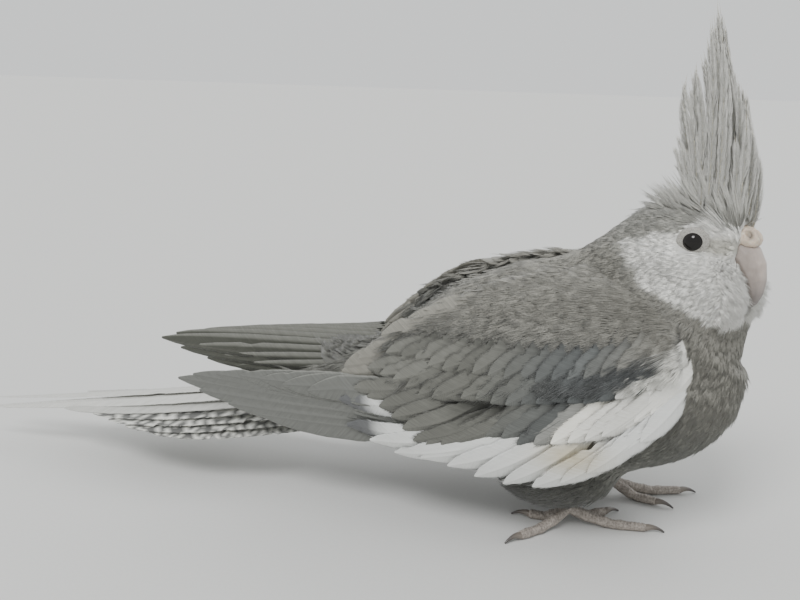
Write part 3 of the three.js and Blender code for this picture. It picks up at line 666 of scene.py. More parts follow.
def barb_fans(spot, facing, unwrap, length, width, lift, seed, number=8, thick=0.11, stray=0.2,
              way=None, tint=None, painted_shade=0.72, spread=0.10):
    # Each feather as a fan of fine loose barbs, which gives the coat its soft hair-like surface
    draw = np.random.default_rng(seed)
    way = flow_at(spot, facing) if way is None else way
    size = length * draw.uniform(0.8, 1.2, len(spot))
    size = size * clear_of_eyes(spot, way, size)
    kept = size > 0.1
    spot, facing, unwrap, way, size = spot[kept], facing[kept], unwrap[kept], way[kept], size[kept]
    count = len(spot)
    across = np.cross(way, facing)
    yaw = draw.normal(0, stray, count)[:, None]
    way, across = way * np.cos(yaw) + across * np.sin(yaw), across * np.cos(yaw) - way * np.sin(yaw)
    share = np.tile(np.linspace(-1, 1, number), count) + draw.normal(0, 0.08, count * number)

    def many(values):
        return np.repeat(values, number, axis=0)

    base, ways, sides, tops, size = many(spot), many(way), many(across), many(facing), many(size)
    half = width / 2 * draw.uniform(0.85, 1.15, len(base))
    high = lift * many(draw.uniform(0.75, 1.25, count))
    reach = (1 - 0.2 * share**2 + draw.normal(0, spread, len(base))) * size
    root = base + sides * (share * half * 0.3)[:, None] - tops * 0.3
    middle = (
        base + ways * (reach * 0.5)[:, None] + sides * (share * half * 0.85)[:, None]
        + tops * (high * 0.75 - 0.12 * share**2 * half)[:, None]
    )
    tip = (
        base + ways * reach[:, None] + sides * (share * half * (1.0 + draw.normal(0, 0.12, len(base))))[:, None]
        + tops * (high + draw.normal(0, 0.10, len(base)) - 0.3 * share**2 * half)[:, None]
    )
    points = spindles(root, middle, tip, tops, thick)
    faces = repeat_faces(BARB_FACES, len(base), BARB_POINTS)
    tinted = spot + way * (0.5 * size.reshape(count, number).mean(1))[:, None]
    colours = plumage(tinted) if tint is None else tint(tinted)
    colours = many(colours * draw.normal(1, 0.04, count)[:, None]) * draw.normal(1, 0.06, len(base))[:, None]
    # A painted ramp: shade at each barb's root, a little lighter at its tip
    shade = np.array([painted_shade, 0.98, 0.98, 0.98, 1.06])
    colours = np.clip(colours[:, None] * shade[None, :, None], 0, 1).reshape(-1, 3)
    along = np.tile([0, 0.5, 0.5, 0.5, 1.0], len(base))
    local = np.column_stack([0.5 + 0.45 * np.clip(np.repeat(share, BARB_POINTS), -1, 1), along])
    patch = np.repeat(many(unwrap), BARB_POINTS, axis=0) + (local - 0.5) * UNWRAP_PATCH
    return to_scene(points.reshape(-1, 3)), faces, colours, patch


def contour_feathers(spot, facing, unwrap, length, width, lift, seed, rag=0.16, tint=None, stray=0.16, way=None):
    # One small vane at each place. Sizes are millimetres, and may be arrays.
    draw = np.random.default_rng(seed)
    count = len(spot)
    way = flow_at(spot, facing) if way is None else way
    across = np.cross(way, facing)
    yaw = draw.normal(0, stray, count)[:, None]
    way, across = way * np.cos(yaw) + across * np.sin(yaw), across * np.cos(yaw) - way * np.sin(yaw)
    length = np.broadcast_to(length, count) * draw.uniform(0.85, 1.15, count)
    width = np.broadcast_to(width, count) * draw.uniform(0.88, 1.12, count)
    lift = np.broadcast_to(lift, count) * draw.uniform(0.8, 1.2, count)
    length = length * clear_of_eyes(spot, way, length)
    lift = lift * np.clip(length / 3, 0, 1)
    stations = np.array([0.04, 0.4, 0.74, 0.93])
    spread = np.array([0.35, 0.95, 1.0, 0.66])
    sides = np.array([-1, -0.55, 0, 0.55, 1, 0.0])
    points = np.empty((count, CONTOUR_POINTS, 3))
    local = np.empty((count, CONTOUR_POINTS, 2))

    def set_point(index, along, side, over):
        points[:, index] = (
            spot + way * (along * length)[:, None]
            + across * (side * width / 2)[:, None]
            + facing * over[:, None]
        )
        local[:, index, 0] = np.clip(0.5 + side / 2, 0, 1)
        local[:, index, 1] = np.clip(along, 0, 1)

    def height(along):
        return lift * (0.15 + 1.15 * along - 0.45 * along**2)

    zero = np.zeros(count)
    set_point(0, zero - 0.03, zero, -0.3 + zero)
    for row, (station, wide) in enumerate(zip(stations, spread)):
        for j, side in enumerate(sides):
            ragged = draw.normal(0, rag * station * 0.5, count) * (abs(side) > 0.1)
            along = station - 0.10 * side**2 * station + ragged
            camber = -0.16 * side**2 * width * 0.5
            under = -0.22 if j == RING - 1 else 0
            set_point(1 + row * RING + j, along, side * wide + zero, height(along) + camber + under)
    set_point(1 + RING * ROWS, zero + 1.02, zero, height(1.0) - 0.1)
    faces = repeat_faces(CONTOUR_FACES, count, CONTOUR_POINTS)
    colours = plumage(spot + way * (length * 0.55)[:, None])
    if tint is not None:
        colours = tint(spot, colours)
    colours = colours * draw.normal(1, 0.045, count)[:, None]
    # A painted ramp: shade at the covered root, a little lighter towards the tip
    shade = np.concatenate([[0.55], np.repeat([0.70, 0.9, 1.0, 1.05], RING), [1.08]])
    colours = np.clip(colours[:, None] * shade[None, :, None], 0, 1)
    patch = unwrap[:, None] + (local - 0.5) * UNWRAP_PATCH
    return to_scene(points.reshape(-1, 3)), faces, colours.reshape(-1, 3), patch.reshape(-1, 2)


soft_plume = grained_material("soft_plume", 0.85, "Noise", 2600, detail=5, blend=("OVERLAY", 0.35),
                              bump=(0.35, 0.0002), Sheen_Weight=0.25, Sheen_Roughness=0.6, Specular_IOR_Level=0.25)


def wing_cover(points):
    # Where the folded wing hides the body: no coat is needed there
    x, y, z = points.T
    return (np.abs(y) > 14) & (x < 22) & (x > -60) & (z > 30) & (z < 70 + 0.1 * (x + 20))


def on_face(points):
    forward, side, up = head_place(points)
    return (forward > -14) & (points[:, 2] > 72) & (white_mask(points) > -1.5)


def on_nape(points):
    return ~on_face(points) & (points[:, 2] + 0.5 * points[:, 0] > 82)


def on_breast(points):
    return ~on_face(points) & ~on_nape(points) & (points[:, 0] > 8) & ~wing_cover(points)


def on_back(points):
    return ~on_face(points) & ~on_nape(points) & (points[:, 0] <= 8) & ~wing_cover(points)


# For each region where it is, the spacing, length, width and lift of its vanes, and the same with the
# barbs' thickness for its fans
COAT_REGIONS = {
    "face": (on_face, (1.3, 2.8, 1.5, 0.1), (0.66, 5.0, 1.1, 0.35, 0.10)),
    "neck": (on_nape, (1.8, 5.0, 3.4, 0.15), (1.02, 6.6, 2.0, 0.7, 0.13)),
    "breast": (on_breast, (1.9, 6.5, 4.2, 0.2), (0.98, 7.6, 2.4, 0.85, 0.14)),
    "back": (on_back, (1.9, 7.0, 4.4, 0.2), (1.2, 8.0, 2.8, 0.85, 0.15)),
}
skin_tree = BVHTree.FromPolygons([tuple(v) for v in to_bird(points_of(skin.data))],
                                 [tuple(face.vertices) for face in skin.data.polygons])


def hugging(spot, facing, length):
    # Turns each feather so that its tip follows the curve of the skin instead of standing off it
    way = flow_at(spot, facing)
    under = np.array([skin_tree.find_nearest(Vector(tip))[0] for tip in spot + way * length])
    way = way + 1.6 * (under - spot) / length
    return unit(way)


for order, (name, (where, (gap, long, wide, high), fan)) in enumerate(COAT_REGIONS.items()):
    # The vanes are darkened by under as painted shade beneath the barb fans, and painted_shade darkens the fans'
    # roots
    slot, under, painted_shade = ("plumage_white", 0.95, 1.0) if name == "face" else ("plumage_grey", 0.8, 0.86)
    spot, facing, unwrap = sample_skin(skin.data, gap, lambda p, n: where(p), 20 + order)
    mesh_piece(f"coat_{name}", slot, soft_plume, *contour_feathers(
        spot, facing, unwrap, long, wide, high, 40 + order, tint=lambda _, base: base * under,
        way=hugging(spot, facing, long),
    ))
    spot, facing, unwrap = sample_skin(skin.data, fan[0], lambda p, n: where(p), 120 + order)
    mesh_piece(f"barbs_{name}", slot, soft_plume, *barb_fans(
        spot, facing, unwrap, *fan[1:4], 140 + order, thick=fan[4], stray=0.11, painted_shade=painted_shade,
        way=hugging(spot, facing, fan[1]),
    ))


def beside_bill(points, facing):
    # Loose cheek feathers fan forward over the sides of the bill and hide the gape
    forward, side, up = head_place(points)
    return (forward > 11) & (side > 3) & (side < 12) & (up > -15) & (up < 4.5 - 0.4 * (forward - 14))


spot, facing, unwrap = sample_skin(skin.data, 0.75, beside_bill, 160)
hand = np.sign((spot - HEAD_CENTRE) @ head_side)[:, None]
forward, side, up = head_place(spot)
way = head_forward * 0.85 + head_side * hand * 0.15
way = way - np.array([0, 0, 1.0]) * np.interp(up, [-14, 4], [0.9, 0.35])[:, None]
way = unit(way)
out = head_side * hand + head_forward * 0.35
out = out - way * (out * way).sum(1)[:, None]
out = unit(out)
size = np.interp(up, [-15, -10, -4, 3], [3.0, 4.6, 5.2, 2.5]) * soft_step(forward, 9, 15)
coat = barb_fans(spot, out, unwrap, size, 1.6, 0.5, 161, number=9, thick=0.10, stray=0.14, way=way, painted_shade=0.9)
mesh_piece("cheek_tufts", "plumage_white", soft_plume, *coat)

# Each folded wing lies on a shallow boxy bowl of flesh and down, the wing bed.
# The coverts and flight feathers root in it, and it takes the place of the wing's solid.
WING_X, WING_Z, WING_BACK, WING_FRONT, WING_UP, WING_DOWN, WING_HALF = -5, 52, 88, 47, 37, 46, 39
WING_POWER = 2.4  # 2 gives an egg, and more a boxier bowl
TIP_START, TIP_HALF = -60, 21  # behind the start the wings run on straight, this far from the middle
BED_SINK, BED_THICKNESS = 0.9, 0.0035
WING_EDGE = np.array([
    (33, 68), (31, 60), (27, 52), (19, 44), (10, 38), (-6, 34), (-22, 34), (-38, 35), (-52, 38),
    (-62, 42), (-70, 48), (-68, 54), (-62, 60), (-51, 69), (-38, 77), (-24, 83), (-8, 87), (8, 88),
    (22, 84), (29, 77),
])


def wing_half(x, z):
    x, z = np.asarray(x, float), np.asarray(z, float)
    along = np.abs(x - WING_X) / np.where(x < WING_X, WING_BACK, WING_FRONT)
    high = np.abs(z - WING_Z) / np.where(z > WING_Z, WING_UP, WING_DOWN)
    left = np.clip(1 - along**WING_POWER - high**WING_POWER, 0, 1)
    egg = WING_HALF * left ** (1 / WING_POWER)
    return np.where(x < TIP_START, np.maximum(egg, TIP_HALF + 0.08 * (x + 140)), egg)


def on_wing(side, x, z, out):
    return np.column_stack([x, side * (wing_half(x, z) + out), z])


def wing_facing(side, x, z):
    step = 1.5
    slope_x = (wing_half(x + step, z) - wing_half(x - step, z)) / (2 * step)
    slope_z = (wing_half(x, z + step) - wing_half(x, z - step)) / (2 * step)
    out = np.column_stack([-slope_x, side * np.ones(len(slope_x)), -slope_z])
    out[:, 0] = np.clip(out[:, 0], -1.2, 1.2)
    out[:, 2] = np.clip(out[:, 2], -1.2, 1.6)
    return unit(out)


def inside_outline(x, z, outline, grow):
    centre = outline.mean(0)
    loop = centre + (outline - centre) * (1 + grow)
    inside = np.zeros(len(x), bool)
    for (x1, z1), (x2, z2) in zip(loop, np.roll(loop, -1, axis=0)):
        crosses = ((z1 > z) != (z2 > z)) & (x < (x2 - x1) * (z - z1) / (z2 - z1 + 1e-9) + x1)
        inside ^= crosses
    return inside


def wing_grey(points):
    # Colour over the folded wing: smooth grey above, slate in the middle, white along the bend
    x, y, z = points.T
    mantle, slate = linear(146, 144, 136), linear(84, 87, 87)
    white, stain = linear(230, 229, 222), linear(200, 186, 148)
    count = len(points)
    low = soft_step(74 - z - 0.10 * x, 0, 14)[:, None]
    colour = mantle * (1 - low) + linear(105, 105, 99) * low
    shoulder = (soft_step(x, -34, 0) * soft_step(72 - z, 0, 8) * soft_step(z - 40, 0, 5))[:, None]
    colour = colour * (1 - shoulder) + slate * shoulder
    under_line = 42 + 0.727 * (x + 12) - z + 1.6 * ripple(points, 9, 12)
    band = (soft_step(under_line, -1.0, 2.0) * soft_step(x, -16, -10))[:, None]
    dirt = np.exp(-(((x + 2) / 9) ** 2 + ((z - 39) / 6) ** 2))[:, None] * 0.85
    colour = colour * (1 - band) + (white * (1 - dirt) + stain * dirt) * band
    return colour * (1 + 0.05 * ripple(points, 7, 31))[:, None]


wing_beds = {}
for side_name, side in (("right", -1), ("left", 1)):
    bpy.ops.object.select_all(action="DESELECT")
    bpy.ops.mesh.primitive_grid_add(x_subdivisions=110, y_subdivisions=64, size=2)
    bed = bpy.context.object
    bed.name = f"wing_bed_{side_name}"
    grid = points_of(bed.data)
    x = -20 + grid[:, 0] * 56
    z = 61 + grid[:, 1] * 30
    outside = ~inside_outline(x, z, WING_EDGE, 0.02)
    move_points(bed.data, to_scene(on_wing(side, x, z, -BED_SINK)))
    in_edit_mode((bpy.ops.mesh.select_all, {"action": "DESELECT"}))
    bed.data.vertices.foreach_set("select", outside)
    bpy.ops.object.mode_set(mode="EDIT")
    bpy.ops.mesh.delete(type="VERT")
    in_edit_mode((bpy.ops.mesh.normals_make_consistent, {"inside": False}))
    if bed.data.polygons[len(bed.data.polygons) // 2].normal[1] * side < 0:
        in_edit_mode((bpy.ops.mesh.flip_normals, {}))
    apply_modifier(bed, "SOLIDIFY", thickness=BED_THICKNESS, offset=-1)
    bpy.ops.object.shade_smooth()
    in_edit_mode(UNWRAP)
    bed.data.uv_layers.active.name = "OFBake"
    spots = to_bird(points_of(bed.data))
    # The bed is darkened, most along its bottom, as painted shade under the feathers
    colour_mesh(bed.data, wing_grey(spots) * (0.6 - 0.4 * soft_step(48 - spots[:, 2], 0, 6))[:, None])
    finish_piece(bed, "plumage_grey", underdown, f"wing_{side_name}")
    wing_beds[side_name] = bed

# Wing feathers lie in tiers like roof tiles, each vane of fine barbs on a raised central shaft.
# The primaries reach back over the tail, the white secondaries fan out below the grey coverts.
ACROSS = np.array([-1, -0.86, -0.62, -0.34, -0.07, 0, 0.07, 0.34, 0.62, 0.86, 1, 0.5, 0, -0.5])
VANE_RING, VANE_TOP, SHAFT = len(ACROSS), 11, 5  # eleven points over the vane, the sixth on the shaft


def vane(centre, facing, half, draw, thick=0.16, camber=0.10, shaft=0.30, tilt=0.0, splits=2):
    # One closed feather vane along a row of centre points, in millimetres
    rows = len(centre)
    run = np.gradient(centre, axis=0)
    run = unit(run)
    facing = facing - run * (facing * run).sum(1)[:, None]
    facing = unit(facing)
    across = np.cross(run, facing)
    share = np.linspace(0, 1, rows)
    length = np.linalg.norm(np.diff(centre, axis=0), axis=1).sum()
    edge = 1 + draw.normal(0, 0.012, (rows, VANE_RING)) * (np.abs(ACROSS) > 0.8)
    for _ in range(splits):
        row = draw.integers(rows // 3, rows - 2)
        left = draw.random() < 0.5
        edge[row, (ACROSS < -0.8) if left else (ACROSS > 0.8)] *= draw.uniform(0.72, 0.9)
    side = ACROSS[None] * edge
    lateral = side * half[:, None]
    over = -camber * side**2 * half[:, None] + tilt * lateral / np.maximum(half.max(), 1)
    over = over + np.where(np.arange(VANE_RING) >= VANE_TOP, -thick, 0.0)[None]
    over = over + ((np.arange(VANE_RING) == SHAFT) * shaft)[None] * (1 - 0.8 * share[:, None])
    sweep = -0.30 * side**2 * half[:, None]
    body = (
        centre[:, None] + across[:, None] * lateral[..., None]
        + facing[:, None] * over[..., None] + run[:, None] * sweep[..., None]
    )
    tip = centre[-1] + run[-1] * half[-1] * 0.35
    root = centre[0] - run[0] * 0.3
    points = np.concatenate([root[None], body.reshape(-1, 3), tip[None]])
    barbs = np.stack([share[:, None] * length + sweep - 0.9 * np.abs(lateral), lateral], -1).reshape(-1, 2)
    barbs = np.concatenate([[[0, 0]], barbs, [[length, 0]]]) / 100
    place = np.stack([np.repeat(share, VANE_RING), np.tile(ACROSS, rows)], -1)
    place = np.concatenate([[[0, 0]], place, [[1, 0]]])
    return points, ring_faces(VANE_RING, rows), barbs, place


def fringe_of(one, tint, draw, number=70, reach=1.5, start=0.3):
    # Loose barb ends along the two edges and the tip of a vane
    body = one[1:-1].reshape(-1, VANE_RING, 3)
    tints = tint[1:-1].reshape(-1, VANE_RING, 3)
    run = np.gradient(body[:, SHAFT], axis=0)
    run = unit(run)
    row = draw.uniform(start * (len(body) - 1), len(body) - 1.01, number)
    low, part = row.astype(int), (row % 1)[:, None]
    edge = np.where(draw.random(number) < 0.5, 0, VANE_TOP - 1)
    inner = np.where(edge == 0, 2, VANE_TOP - 3)
    at = body[low, edge] * (1 - part) + body[low + 1, edge] * part
    within = body[low, inner] * (1 - part) + body[low + 1, inner] * part
    out = at - body[low, SHAFT]
    out /= np.linalg.norm(out, axis=1)[:, None] + 1e-9
    over = np.cross(run[low], out)
    aim = run[low] * 0.94 + out * draw.uniform(0.05, 0.4, number)[:, None]
    size = (reach * draw.uniform(0.6, 1.3, number))[:, None]
    tip = at + aim * size + over * draw.normal(0, 0.12, number)[:, None]
    root = within * 0.6 + at * 0.4
    points = spindles(root, at, tip, over, 0.085).reshape(-1, 3)
    faces = repeat_faces(BARB_FACES, number, BARB_POINTS)
    shade = np.repeat(tints[low, edge] * draw.normal(1.03, 0.06, number)[:, None], BARB_POINTS, axis=0)
    return points, faces, np.clip(shade, 0, 1), np.zeros((len(points), 2))


def vane_half(width, rows, narrow, full, point, sharp):
    # Half width from root to tip: a narrow quill end, a full middle and a rounded tip
    share = np.linspace(0, 1, rows)
    root = narrow + (1 - narrow) * soft_step(share, 0, full)
    past = np.clip((share - point) / (1 - point), 0, 1)
    return width / 2 * root * np.maximum(1 - past**2, 0.02) ** sharp


def unwrap_finder(base):
    # Gives the place of any spot on the unwrap of a base piece, by the face nearest to it
    tree = BVHTree.FromPolygons([tuple(v) for v in to_bird(points_of(base.data))],
                                [tuple(face.vertices) for face in base.data.polygons])
    corners = [tuple(face.loop_indices) for face in base.data.polygons]
    places = base.data.uv_layers["OFBake"].data

    def near(spot):
        face = tree.find_nearest(Vector(spot))[2]
        return np.mean([places[corner].uv[:] for corner in corners[face]], axis=0)

    return near


def vane_piece(name, slot, material, vanes, near):
    # Vanes joined into one piece, each a small patch at its root's place on the unwrap below it
    count, faces, patches = 0, [], []
    for one, tris, _, barb in vanes:
        faces.append(tris + count)
        low = barb.min(axis=0)
        share = (barb - low) / (barb.max(axis=0) - low + 1e-9)
        patches.append(near(one[0]) + (share - 0.5) * UNWRAP_PATCH)
        count += len(one)
    points, _, colours, barbs = (np.concatenate(part) for part in zip(*vanes))
    faces = np.concatenate(faces)
    piece = mesh_piece(name, slot, material, to_scene(points), faces, colours, np.concatenate(patches))
    piece.data.uv_layers.new(name="barbs").data.foreach_set("uv", barbs[faces.ravel()].ravel())
    return piece


# Fine barb streaks follow the vane's own map, slanting from the shaft towards the tip
flight_vane, covert_vane = (
    grained_material(name, roughness, "Noise", 1, detail=4, blend=("OVERLAY", streak), bump=(0.4, 0.00025),
                     barb_map=True, stretch=(260, 16, 1), Sheen_Weight=0.15, Specular_IOR_Level=0.3)
    for name, roughness, streak in (("flight_vane", 0.62, 0.5), ("covert_vane", 0.78, 0.55))
)


def along_line(corners, count):
    # Places spread evenly along a bent line
    corners = np.array(corners, float)
    reach = np.concatenate([[0], np.cumsum(np.linalg.norm(np.diff(corners, axis=0), axis=1))])
    wanted = np.linspace(0, reach[-1], count)
    return np.column_stack([np.interp(wanted, reach, corners[:, k]) for k in (0, 1)])


# For each tier its tips from front to back, count, length, width, and lift at the front and the back
WING_TIERS = [
    ("secondaries", [(18, 42), (9, 35), (0, 28), (-9, 23), (-18, 22), (-27, 22.5), (-37, 26),
                     (-46, 27), (-56, 26), (-66, 29), (-75, 34), (-77, 42)], 13, 34, 9.8, (0.2, 2.0)),
    ("greater", [(20, 51), (12, 47), (5, 43), (-3, 41), (-10, 39.5), (-18, 38.5), (-25, 41), (-33, 38),
                 (-41, 34.5), (-49, 32.5), (-56, 40), (-64, 45), (-71, 48)], 21, 30, 8.6, (1.0, 2.8)),
    ("median", [(18, 59), (8, 56), (0, 54), (-8, 54), (-16, 52), (-24, 51), (-32, 52), (-40, 51),
                (-48, 50), (-57, 54), (-66, 56)], 20, 24, 7.8, (1.9, 3.4)),
    ("upper_median", [(18, 66), (8, 63), (-4, 61), (-16, 59), (-30, 60), (-44, 60), (-60, 62)],
     18, 20, 7.4, (2.5, 3.8)),
]
TERTIAL_TIPS = [(-77, 49), (-75, 53), (-70, 58), (-63, 65), (-56, 70), (-50, 74)]
PRIMARY_TIPS = [(-106, 31.5), (-118, 34), (-129, 37.5), (-137, 41), (-131, 43.2), (-122, 44.6),
                (-113, 45.3), (-105, 45.2), (-97, 44.4), (-88, 43.5)]
TRAIL = {"right": 0, "left": 28}

COVERT_ROWS, TERTIAL_ROWS, PRIMARY_ROWS = 14, 18, 26
TERTIAL_WIDTH, PRIMARY_WIDTH = 13.5, 10.5


def run_between(root, tip, rows, bow):
    # Shares and places along a feather from root to tip, bowed up by some millimetres in the middle
    t = np.linspace(0, 1, rows)
    return t, root[0] + (tip[0] - root[0]) * t, root[1] + (tip[1] - root[1]) * t + bow * np.sin(math.pi * t)


def blended(base, tint, share):
    return base * (1 - share) + tint * share


for side_name, side in (("right", -1), ("left", 1)):
    draw = np.random.default_rng(70 + side)
    coverts, flights = [], []
    for name, tips, count, length, width, lifts in WING_TIERS:
        for index, tip in enumerate(along_line(tips, count)):
            share = index / (count - 1)
            angle = math.radians(np.interp(tip[0], [-77, -50, -20, 20], [14, 30, 42, 50]) + draw.normal(0, 2.5))
            reach = length * draw.uniform(0.94, 1.08)
            if name == "secondaries":
                angle *= np.interp(tip[0], [-77, -45, -10], [0.8, 0.85, 1.0])
                reach *= np.interp(tip[0], [-77, -40, 18], [1.5, 1.25, 0.75])
            root = tip + reach * np.array([math.cos(angle), math.sin(angle)])
            t, x, z = run_between(root, tip, COVERT_ROWS, -0.05 * reach)
            lift = np.interp(share, [0, 1], lifts) + draw.normal(0, 0.12)
            out = -0.6 + (lift + 0.6) * soft_step(t, 0, 0.5)
            if name == "secondaries" and -40 < tip[0] < 5:
                out = out + 0.9 * soft_step(t, 0.5, 1)
            half = vane_half(width * draw.uniform(0.93, 1.07), COVERT_ROWS, 0.55, 0.35, 0.62, 0.5)
            one, tris, barbs, spots = vane(on_wing(side, x, z, out), wing_facing(side, x, z), half, draw,
                                           tilt=-0.9 * side, camber=0.14)
            tint = np.tile(wing_grey(on_wing(side, *(tip + (root - tip) * 0.35)[:, None], 0.0)), (len(one), 1))
            if name == "secondaries":
                white, grey = linear(226, 227, 224), linear(182, 184, 183)
                # Painted shade: the vanes are greyer towards their edges and darker at the root, where neighbouring
                # feathers overlap them
                edge = soft_step(np.abs(spots[:, 1]), 0.55, 1.0)[:, None]
                tint = blended(white, grey, 0.35 * edge) * (1 - 0.4 * soft_step(0.35 - spots[:, 0], 0, 0.35)[:, None])
                if abs(tip[0] + 77) < 4:
                    tint = blended(tint, linear(92, 93, 94), soft_step(spots[:, 0], 0.72, 0.86)[:, None])
                dirt = np.exp(-(((one[:, 0] + 2) / 10) ** 2 + ((one[:, 2] - 36) / 6) ** 2))[:, None] * 0.75
                tint = blended(tint, linear(186, 172, 134), dirt)
            else:
                upward = spots[:, 1] * side
                # Painted shade: each vane is darker along its edges, most on the upper one, and at its covered root
                edge_shade = 0.30 * soft_step(upward, 0.2, 1.0) + 0.12 * soft_step(-upward, 0.6, 1.0)
                tip_light = 0.10 * soft_step(spots[:, 0], 0.8, 1.0)
                tint = tint * (1 - edge_shade + tip_light)[:, None] * draw.normal(0.97, 0.08)
                tint = tint * (1 - 0.5 * soft_step(0.55 - spots[:, 0], 0, 0.4)[:, None])
            tint = np.clip(tint, 0, 1)
            group, fringes = (flights, 60) if name == "secondaries" else (coverts, 110)
            group += [(one, tris, tint, barbs), fringe_of(one, tint, draw, fringes, 1.7)]
    for index, tip in enumerate(TERTIAL_TIPS):
        tip = np.array(tip) + draw.normal(0, 0.5, 2)
        root = np.array([-22, 66.0]) + index * np.array([1.2, 1.6])
        t, x, z = run_between(root, tip, TERTIAL_ROWS, 2.0)
        out = -0.8 + (2.3 + 0.15 * index) * soft_step(t, 0.15, 0.8)
        half = vane_half(TERTIAL_WIDTH, TERTIAL_ROWS, 0.55, 0.4, 0.6, 0.5)
        one, tris, barbs, spots = vane(on_wing(side, x, z, out), wing_facing(side, x, z), half, draw,
                                       tilt=-0.5 * side, camber=0.12)
        tint = np.tile(linear(128, 126, 118), (len(one), 1))
        tint = tint * (1 + 0.22 * soft_step(np.abs(spots[:, 1]), 0.8, 1.0)[:, None]) * draw.normal(1, 0.03)
        tint = np.clip(tint, 0, 1)
        coverts += [(one, tris, tint, barbs), fringe_of(one, tint, draw, 60, 1.2)]
    for index, tip in enumerate(PRIMARY_TIPS):
        tip = np.array(tip, float)
        tip[0] -= TRAIL[side_name]
        share = index / (len(PRIMARY_TIPS) - 1)
        root = np.array([-38 - 12 * share, 36 + 15 * share])
        t, x, z = run_between(root, tip, PRIMARY_ROWS, -1.5 * (1 - share))
        out = -0.8 + (0.8 + 2.4 * share) * soft_step(t, 0, 0.3)
        half = vane_half(PRIMARY_WIDTH, PRIMARY_ROWS, 0.6, 0.3, 0.55, 0.62)
        one, tris, barbs, spots = vane(on_wing(side, x, z, out), wing_facing(side, x, z), half, draw,
                                       tilt=-0.4 * side, camber=0.08, shaft=0.4, splits=1)
        # The far wing's primaries are darker than the near wing's: painted shade on the far side
        tint = np.tile(linear(106, 107, 103) if side < 0 else linear(74, 75, 68), (len(one), 1))
        pale = soft_step(np.abs(spots[:, 1]), 0.86, 1.0)[:, None] * 0.5
        flights.append((one, tris, blended(tint, linear(164, 164, 156), pale), barbs))
    bed_place = unwrap_finder(wing_beds[side_name])
    vane_piece(f"coverts_{side_name}", "plumage_grey", covert_vane, coverts, bed_place)
    vane_piece(f"flight_feathers_{side_name}", "flight_feathers", flight_vane, flights, bed_place)

# The scapulars and lesser coverts are soft contour feathers over the wing's upper half.
# They root in the wing bed, hide its edge and pass smoothly into the back.
def wing_top(points, facing):
    x, y, z = points.T
    low_edge = 59 + 0.07 * (x + 30) + 2.5 * ripple(points, 14, 95)
    return (facing[:, 1] * np.sign(y) > -0.35) & (z > low_edge) & (x > -58 + 3 * ripple(points, 12, 96)) & (x < 27)


def wing_way(spot, facing):
    way = np.column_stack([-np.ones(len(spot)), np.zeros(len(spot)), np.interp(spot[:, 2], [50, 84], [-0.85, -0.3])])
    way -= facing * (way * facing).sum(1)[:, None]
    return unit(way)


for side_name, bed in wing_beds.items():
    spot, facing, unwrap = sample_skin(bed.data, 2.0, wing_top, 90)
    # The vanes are darkened as painted shade under the barb fans
    coat = contour_feathers(spot, facing, unwrap, 9.0, 6.0, 1.5, 91, rag=0.10,
                            tint=lambda place, _: wing_grey(place) * 0.8)
    mesh_piece(f"scapulars_{side_name}", "plumage_grey", soft_plume, *coat)
    spot, facing, unwrap = sample_skin(bed.data, 1.0, wing_top, 92)
    over = spot + facing * np.interp(spot[:, 2], [58, 66, 84], [3.0, 2.6, 1.0])[:, None]
    coat = barb_fans(over, facing, unwrap, 9.0, 2.6, 0.8, 93, number=8, thick=0.15, stray=0.12,
                     way=wing_way(spot, facing), tint=wing_grey, painted_shade=0.9)
    mesh_piece(f"scapular_barbs_{side_name}", "plumage_grey", soft_plume, *coat)

# Long scapulars are loose feathers that spread from the back over the tops of the folded wings.
# They root just under the skin and close the hollow between each wing and the rump.
WING_CREST_X = [-78, -70, -62, -51, -38, -24, -8, 10]
WING_CREST_Z = [47, 52, 60, 69, 77, 82.5, 86, 86]


def beside_wings(points, facing):
    x, y, z = points.T
    return (x < -31 + 7 * ripple(points, 9, 97)) & (x > -84) & (np.abs(y) > 3) & (facing[:, 2] > 0.2) & (z > 38)


spot, facing, unwrap = sample_skin(skin.data, 2.0, beside_wings, 170)
hand = np.sign(spot[:, 1])
reach = np.interp(spot[:, 0], [-82, -60, -10], [19, 20, 17])
meet_x = spot[:, 0] - reach * 0.86
meet_z = np.interp(meet_x, WING_CREST_X, WING_CREST_Z) + 0.2
meet_y = hand * (wing_half(meet_x, meet_z - 2) - 1.5)
way = np.column_stack([meet_x, meet_y, meet_z]) - spot
gap = np.linalg.norm(way, axis=1)
way /= gap[:, None]
reach = np.minimum(reach, gap + 4)
spot = spot - facing * 0.9
facing = np.cross(np.cross(way, np.array([0, 0, 1.0]) + 0.2 * facing), way)
facing = unit(facing)
# The vanes are darkened as painted shade under the barb fans
coat = contour_feathers(spot, facing, unwrap, reach, 8.5, 0.3, 171, rag=0.06, stray=0.04, way=way,
                        tint=lambda place, _: wing_grey(place) * 0.9)
mesh_piece("long_scapulars", "plumage_grey", soft_plume, *coat)
draw = np.random.default_rng(172)
again = np.repeat(np.arange(len(spot)), 5)
along = way[again] * (draw.uniform(0.05, 0.85, len(again)) * reach[again])[:, None]
side = np.cross(way, facing)[again] * draw.uniform(-2.6, 2.6, len(again))[:, None]
coat = barb_fans(spot[again] + along + side + facing[again] * 0.75, facing[again], unwrap[again], 8.0, 2.4, 0.5,
                 173, number=6, thick=0.14, stray=0.12, way=way[again], tint=wing_grey, painted_shade=0.9)
mesh_piece("long_scapular_barbs", "plumage_grey", soft_plume, *coat)

